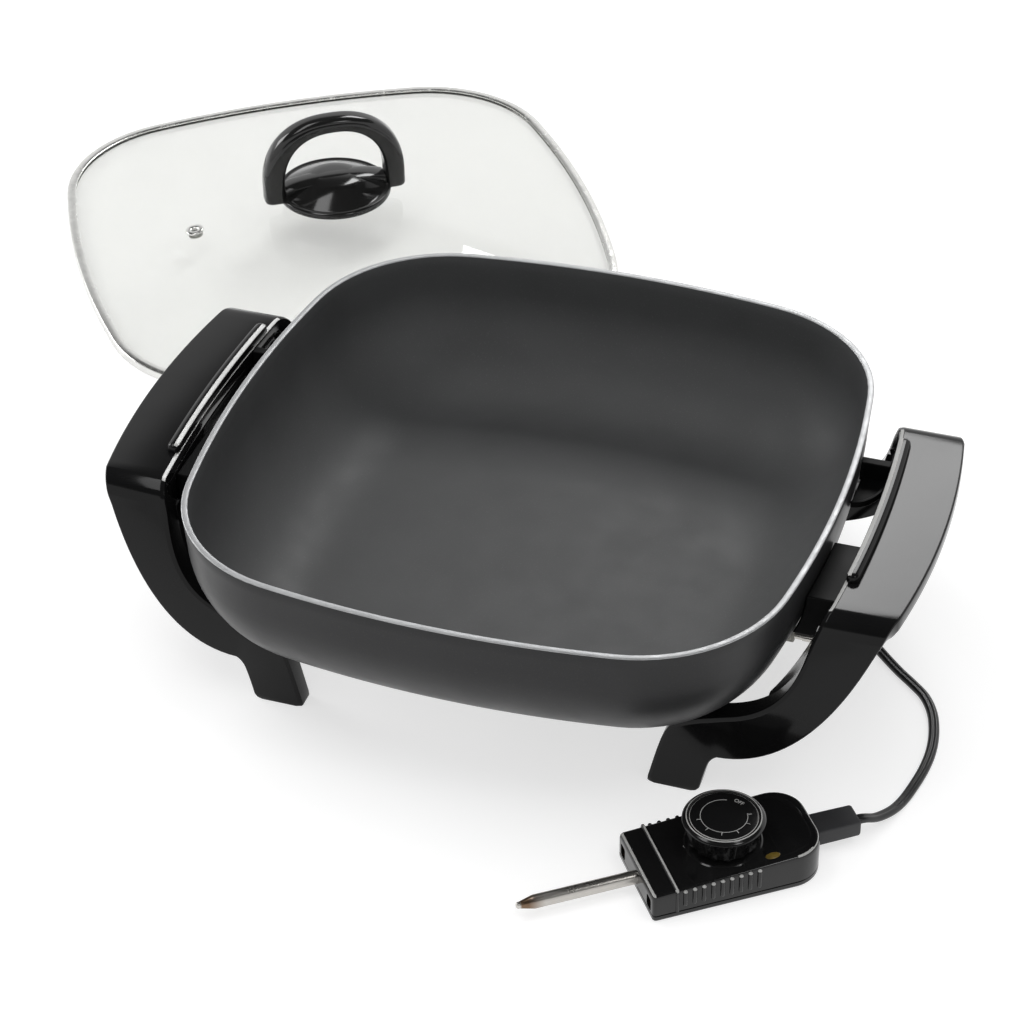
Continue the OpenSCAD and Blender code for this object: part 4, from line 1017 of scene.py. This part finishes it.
# The base: a stem, a rolled edge and a crowned top, with a bar between the arch's feet
DISC_EDGE = ((1.4, 0), (0.4, 0.3), (0, 1.1), (0, 2.2), (0.3, 3.0), (1.1, 3.5), (2.0, 3.5),
             (2.7, 3.2), (3.2, 3.3), (4, 3.75), (10, 6.7), (16, 9.4), (18.5, 10.2), (22, 10.7),
             (KNOB_R, 10.9))
disc = [(0, KNOB_Z), (11.6, KNOB_Z), (12, KNOB_Z + 0.4), (12, EDGE_Z)]
disc += [(KNOB_R - e, EDGE_Z + z) for e, z in DISC_EDGE]
BRIDGE_HALF = 6.4
BRIDGE_SOFT = [0.2, 0.2, 0.9, 1.5, 1.5, 0.9]
bridge_rings = []
for x in spread(-ARCH_IN + 0.3, ARCH_IN - 0.3, 24):
    crown = math.sqrt(max(0.0, 1 - (x / (KNOB_R + 1)) ** 2))
    z0, z1 = EDGE_Z + 2, EDGE_Z + 4.2 + 6.8 * crown
    ring = [(-1, z0), (1, z0), (1, z1 - 0.6), (0.3, z1), (-0.3, z1), (-1, z1 - 0.6)]
    bridge_rings.append(fillet([(x, BRIDGE_HALF * v, z) for v, z in ring], BRIDGE_SOFT, 3))
make("knob_disc", joined(lathe(disc, 128), loft(bridge_rings)), KNOB, "lid",
     replaces=("knob_base",), slot="gloss_black", at=in_lid, sharp=40)

SEAL_PROFILE = [(3.4, 0), (11.2, 0), (11.5, 0.3), (11.5, 1.1), (11.2, 1.4), (3.4, 1.4)]
make("knob_seal", lathe(SEAL_PROFILE, 72, closed=True), RUBBER, "lid", replaces=("knob_gasket",),
     slot="seal_rubber", at=in_lid @ shift(0, 0, GASKET_Z), sharp=40)
BOLT_PROFILE = [(0, -0.9), (0.7, -0.9), (0.8, -1.9), (3.2, -1.9), (4.3, -1.5), (4.6, -0.8),
                (4.6, 0), (6.3, 0), (6.5, 0.2), (6.5, 0.5), (6.4, 0.6), (2.05, 0.6), (2.05, 12.5),
                (0, 12.5)]
make("knob_bolt", lathe(BOLT_PROFILE, 64), SCREW, "lid", replaces=("knob_screw",),
     slot="plain_steel", at=in_lid @ shift(0, 0, GLASS_LOW + SEAT - 0.8), sharp=35)

# ---- control ----

TAIL_R = 14.0


def housing(e, nose_r=1.6, n=12):
    """Plan outline of the housing drawn in by e: square nose, round tail corners."""
    r = TAIL_R - e
    c = (CONTROL_L - TAIL_R, CONTROL_W / 2 - TAIL_R)
    q = max(nose_r - e * 0.4, 0.5)
    n0 = (e + q, CONTROL_W / 2 - e - q)
    return (arc(n0[0], -n0[1], q, 180, 270, 4) + arc(c[0], -c[1], r, -90, 0, n)
            + arc(*c, r, 0, 90, n) + arc(*n0, q, 90, 180, 4))


def under_top(e, drop):
    return [(x, y, top_z(x) - drop) for x, y in housing(e)]


def at_height(e, z):
    return [(x, y, z) for x, y in housing(e)]


SEAM_Z = 3.0
EDGE_STEPS = ((0, 2.2), (0.2, 1.1), (0.55, 0.5), (0.95, 0.16), (1.45, 0.02), (2.2, 0))
shell_rings = [at_height(0.3, SEAM_Z), at_height(0, SEAM_Z + 0.3)]
shell_rings += [under_top(e, drop) for e, drop in EDGE_STEPS]
RIDGE_S = 10.5


def hoop(s, w, proud_top, proud_side):
    """A narrow band over the top and down both sides."""
    half, low, soft = CONTROL_W / 2 + proud_side, SEAM_Z + 0.2, 0.35
    rings = []
    for ds, draw in ((-w / 2, soft), (-w / 2 + soft, 0), (w / 2 - soft, 0), (w / 2, soft)):
        h = half - draw
        z = top_z(s + ds) + proud_top - draw
        rings.append(fillet([(s + ds, -h, low), (s + ds, -h, z), (s + ds, h, z), (s + ds, h, low)],
                            [0.1, 1.8, 1.8, 0.1], 5))
    return loft(rings)


RIBS, RIB_PITCH, RIB_R, RIB_LOW = 9, 4.05, 1.0, 5.6
ribs = []
for i in range(RIBS):
    s = RIDGE_S + 3.4 + RIB_PITCH * i
    for t in (-1, 1):
        foot = shift(s, t * (CONTROL_W / 2 + 0.05), RIB_LOW)
        ribs.append(moved(capsule(top_z(s) - 0.4 - RIB_LOW, RIB_R), foot @ turn(-90, "Y")))


def panel_ring(e, dz):
    """Outline of the barely raised panel at the cord end, which is left bare."""
    s0, s1 = 57.0 + e, CONTROL_L - 3.4 - e
    half = CONTROL_W / 2 - 3.4 - e
    r = 12.0
    pts = [(s0, -half), (s1 - r, -half)] + arc(s1 - r, -half + r, r, -80, 0, 8)
    pts += arc(s1 - r, half - r, r, 0, 80, 8) + [(s1 - r, half), (s0, half)]
    return [(x, y, top_z(x) + dz) for x, y in pts]


tail_panel = loft([panel_ring(*row) for row in ((0, -0.5), (0, 0.02), (0.3, 0.1), (0.8, 0.12))])
COLLAR_RING = [(DIAL_R - 5, -1.5), (DIAL_R - 5, 0.45), (DIAL_R - 1.5, 0.45), (DIAL_R - 0.9, 0.1),
               (DIAL_R - 0.9, -1.5)]
collar = moved(lathe(COLLAR_RING, 80, closed=True),
               shift(DIAL_S, 0, top_z(DIAL_S)) @ turn(-SLOPE, "Y"))
case = make("control_shell", loft(shell_rings), SHELL, "control", replaces=("control_top",),
            slot="gloss_black", at=in_control, sharp=40)


def drill(piece, name, shape):
    """Cuts a shape out of a piece and drops the cutter."""
    cutter = bpy.data.objects.new(name, solid_mesh(name, shape, in_control))
    scene.collection.objects.link(cutter)
    mod = piece.modifiers.new("cut", "BOOLEAN")
    mod.operation = "DIFFERENCE"
    mod.solver = "EXACT"
    mod.object = cutter
    old, new = piece.data, flattened(piece)
    piece.modifiers.clear()
    piece.data = new
    new.name = old.name + "_cut"
    bpy.data.objects.remove(cutter)


def on_shell_edge(c, n):
    """The edge of the top that takes a painted highlight, at the nose and round the near side of
    the tail.
    """
    return 0.7 < n.z < 0.97 and c.z > top_z(c.x) - 0.7 and (c.x < 1.6 or c.x > 58 and c.y < 15)


def on_hoop_or_rib(c, n):
    """The crown of the hoop, and the upper ends of the ribs on the near side, which take a painted
    highlight.
    """
    return (n.z > 0.9 and c.z > top_z(c.x) + 0.4 and c.y < 19
            or c.y < -20 and n.z > 0.35 and c.z > top_z(c.x) - 1.2)


PROBE_HOLE_R = PROBE_R + 0.05
SLOT_X, SLOT_DEEP, SLOT_HALF, SLOT_LOW, SLOT_HIGH = -1, 7, 2.4, PROBE_Z - 3.1, PROBE_Z + 3.2
drill_bit = lathe([(0, -1), (PROBE_HOLE_R, -1), (PROBE_HOLE_R, 5), (0, 5)], 40)
cuts = [moved(drill_bit, shift(0, 0, PROBE_Z) @ turn(90, "Y"))]
for t in (-PIN_HALF, PIN_HALF):
    outline = rect(t - SLOT_HALF, t + SLOT_HALF, SLOT_LOW, SLOT_HIGH)
    ring = fillet([(SLOT_X, y, z) for y, z in outline], 1.4, 5)
    cuts.append(loft([ring, [p + Vector((SLOT_DEEP, 0, 0)) for p in ring]]))
# Painted highlight along the top's edge
repaint(case, PAINTED_HIGHLIGHT, on_shell_edge, in_control)
drill(case, "cutter", joined(*cuts))
ridge_piece = make("control_ridge", joined(hoop(RIDGE_S, 1.5, 1.0, 0.5), *ribs), SHELL, "control",
                   slot="gloss_black", at=in_control, sharp=45)
# Painted highlight on the hoop's crown and the near ribs
repaint(ridge_piece, PAINTED_HIGHLIGHT, on_hoop_or_rib, in_control)
make("control_panel", joined(tail_panel, collar), SHELL, "control", slot="gloss_black",
     at=in_control, sharp=30)

base_rings = [at_height(1.2, 0), at_height(0.5, 0.15), at_height(0.05, 0.8), at_height(0, 1.2),
              at_height(0, SEAM_Z - 0.35), at_height(0.3, SEAM_Z - 0.05)]
make("control_tray", loft(base_rings), SHELL, "control", replaces=("control_base",),
     slot="gloss_black", at=in_control, sharp=40)

PROBE_PROFILE = [(0, 0), (0.9, 0.05), (1.35, 0.5), (1.5, 0.9), (1.42, 1.3), (PROBE_R - 0.15, 7.0),
                 (PROBE_R, 7.8), (PROBE_R, PROBE_L + 4.5), (0, PROBE_L + 4.5)]
make("probe_rod", lathe(PROBE_PROFILE, 48), probe_steel(), "control", replaces=("probe_tube",),
     slot="probe_steel", at=in_control @ shift(-PROBE_L, 0, PROBE_Z) @ turn(90, "Y"), sharp=30)

LAMP_S, LAMP_T, LENS_A, LENS_B = 54.0, -15.8, 3.2, 1.85
lens_rings = []
for k, z in ((1, -2.0), (1, 0.05), (0.93, 0.2), (0.75, 0.33), (0.4, 0.39), (0.05, 0.4)):
    lens_rings.append([(LENS_A * k * cosd(a), LENS_B * k * sind(a), z)
                       for a in spread(0, 360, 40)[:-1]])
make("lamp_cover", loft(lens_rings), AMBER, "control", replaces=("lamp_lens",), slot="amber_lens",
     at=in_control @ shift(LAMP_S, LAMP_T, top_z(LAMP_S)) @ turn(-SLOPE, "Y"), sharp=40)

# Pointer printed on the top, a thin raised triangle
tri = [(21.9, 3.2), (21.9, 1.0), (23.7, 2.1)]
pointer = loft([[(x, y, top_z(x) + dz) for x, y in tri] for dz in (-0.05, 0.06)])
make("pointer_mark", pointer, PRINT, "control", slot="dial_face", at=in_control)

# ---- dial ----

FLUTES = 14
in_dial = in_control @ shift(DIAL_S, 0, DIAL_Z)


def skirt_ring(r, z, depth, n=FLUTES * 16):
    """A ring with flutes of a depth, pointed between them."""
    ring = []
    for i in range(n):
        a = 360 * i / n
        wave = 0.5 - 0.5 * math.cos(2 * math.pi * ((a * FLUTES / 360) % 1))
        ring.append(((r - depth * wave ** 0.55) * cosd(a), (r - depth * wave ** 0.55) * sind(a), z))
    return ring


# Inset from the dial's radius, height and depth of the flutes, from the foot over the rim
SKIRT_STEPS = (
    (4.4, 0.0, 0.2), (2.9, 0.0, 1.2), (2.6, 0.4, 1.5), (2.1, 2.5, 1.7), (0.5, 9.9, 1.7),
    (0.3, 10.5, 0.8), (0.1, 10.8, 0), (0.0, 11.1, 0), (0.3, 11.5, 0), (1.0, 11.95, 0),
    (1.5, 12.15, 0), (1.65, 12.3, 0), (1.8, 12.45, 0), (2.05, 12.5, 0), (2.35, 12.45, 0),
    (2.5, 12.3, 0), (2.6, 12.0, 0), (2.65, 11.75, 0), (2.9, 11.7, 0))
CAP_R = DIAL_R - 3.05


# Faces on the dial's rim that take a painted highlight ring
def on_dial_rim(c, n):
    return c.z > 12.2 and 1.6 < DIAL_R - math.hypot(c.x, c.y) < 2.2


# Faces at the cap's edge that take a painted highlight ring
def on_cap_edge(c, n):
    return 12.05 < c.z < 12.24 and math.hypot(c.x, c.y) > CAP_R - 0.4


grip = make("dial_grip", loft([skirt_ring(DIAL_R - e, z, depth) for e, z, depth in SKIRT_STEPS]),
            DIAL, "dial", replaces=("dial_knob",), slot="gloss_black", at=in_dial, sharp=40)
# Painted highlight ring on the dial's rim
repaint(grip, PAINTED_HIGHLIGHT, on_dial_rim, in_dial)
CAP_PROFILE = [(0, 11.68), (CAP_R, 11.68), (CAP_R, 12.0), (CAP_R - 0.25, 12.2),
               (CAP_R - 0.65, 12.25), (0, 12.25)]
face_disc = make("dial_disc", lathe(CAP_PROFILE, 120), FACE, "dial", replaces=("dial_cap",),
                 slot="dial_face", at=in_dial, sharp=40)
# Painted highlight ring at the cap's edge
repaint(face_disc, PAINTED_HIGHLIGHT, on_cap_edge, in_dial)


def arc_strip(r0, r1, a0, a1, z0, z1, n=60):
    rings = []
    for a in spread(a0, a1, n):
        c, s = cosd(a), sind(a)
        rings.append([(r * c, r * s, z) for r, z in rect(r0, r1, z0, z1)])
    return loft(rings)


MARK_Z0, MARK_Z1 = 12.2, 12.3
SCALE_R0, SCALE_R1, TICK_R, TICK_HALF = 9.65, 9.9, 11.6, 0.14
marks = [arc_strip(SCALE_R0, SCALE_R1, 62, 350, MARK_Z0, MARK_Z1)]
for a in (172, 208, 244, 280, 316, 347):
    tick = slab(rect(SCALE_R1 - 0.05, TICK_R, -TICK_HALF, TICK_HALF), MARK_Z0, MARK_Z1)
    marks.append(moved(tick, turn(a, "Z")))
make("dial_scale", joined(*marks), PRINT, "dial", slot="dial_face", at=in_dial)

word = bpy.data.curves.new("off_word", "FONT")
word.body = "OFF"
word.size = 2.6 * MM
word.extrude = 0.04 * MM
word.align_x, word.align_y = "CENTER", "CENTER"
letters = bpy.data.objects.new("off_letters", word)
scene.collection.objects.link(letters)
flat = flattened(letters)
bpy.data.objects.remove(letters)
OFF_ANGLE, OFF_R, OFF_Z = 33, 10.6, 12.27
flat.transform(Matrix.Scale(MM, 4) @ in_dial @ turn(OFF_ANGLE, "Z") @ shift(OFF_R, 0, OFF_Z)
               @ turn(-90, "Z") @ Matrix.Scale(1 / MM, 4))
flat.materials.clear()
flat.materials.append(PRINT)
off = bpy.data.objects.new("dial_off", flat)
scene.collection.objects.link(off)
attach(off, "dial")

# ---- nodes whose shape is right keep it and get their material ----

kept = {
    "element_clips": FRAME, "probe_well": NICKEL, "socket_guard": GRIP, "probe_ferrule": NICKEL,
    "contact_sleeves": BRASS, "thermostat_frame": FRAME, "contact_blades": BRASS,
    "ceramic_spacers": CERAMIC, "neon_lamp": BULB, "internal_wires": braid(), "cord_clamp": RELIEF,
    "housing_screws": SCREW, "adjusting_shaft": NICKEL,
}
for name, material in kept.items():
    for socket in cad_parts[name].material_slots:
        socket.material = material
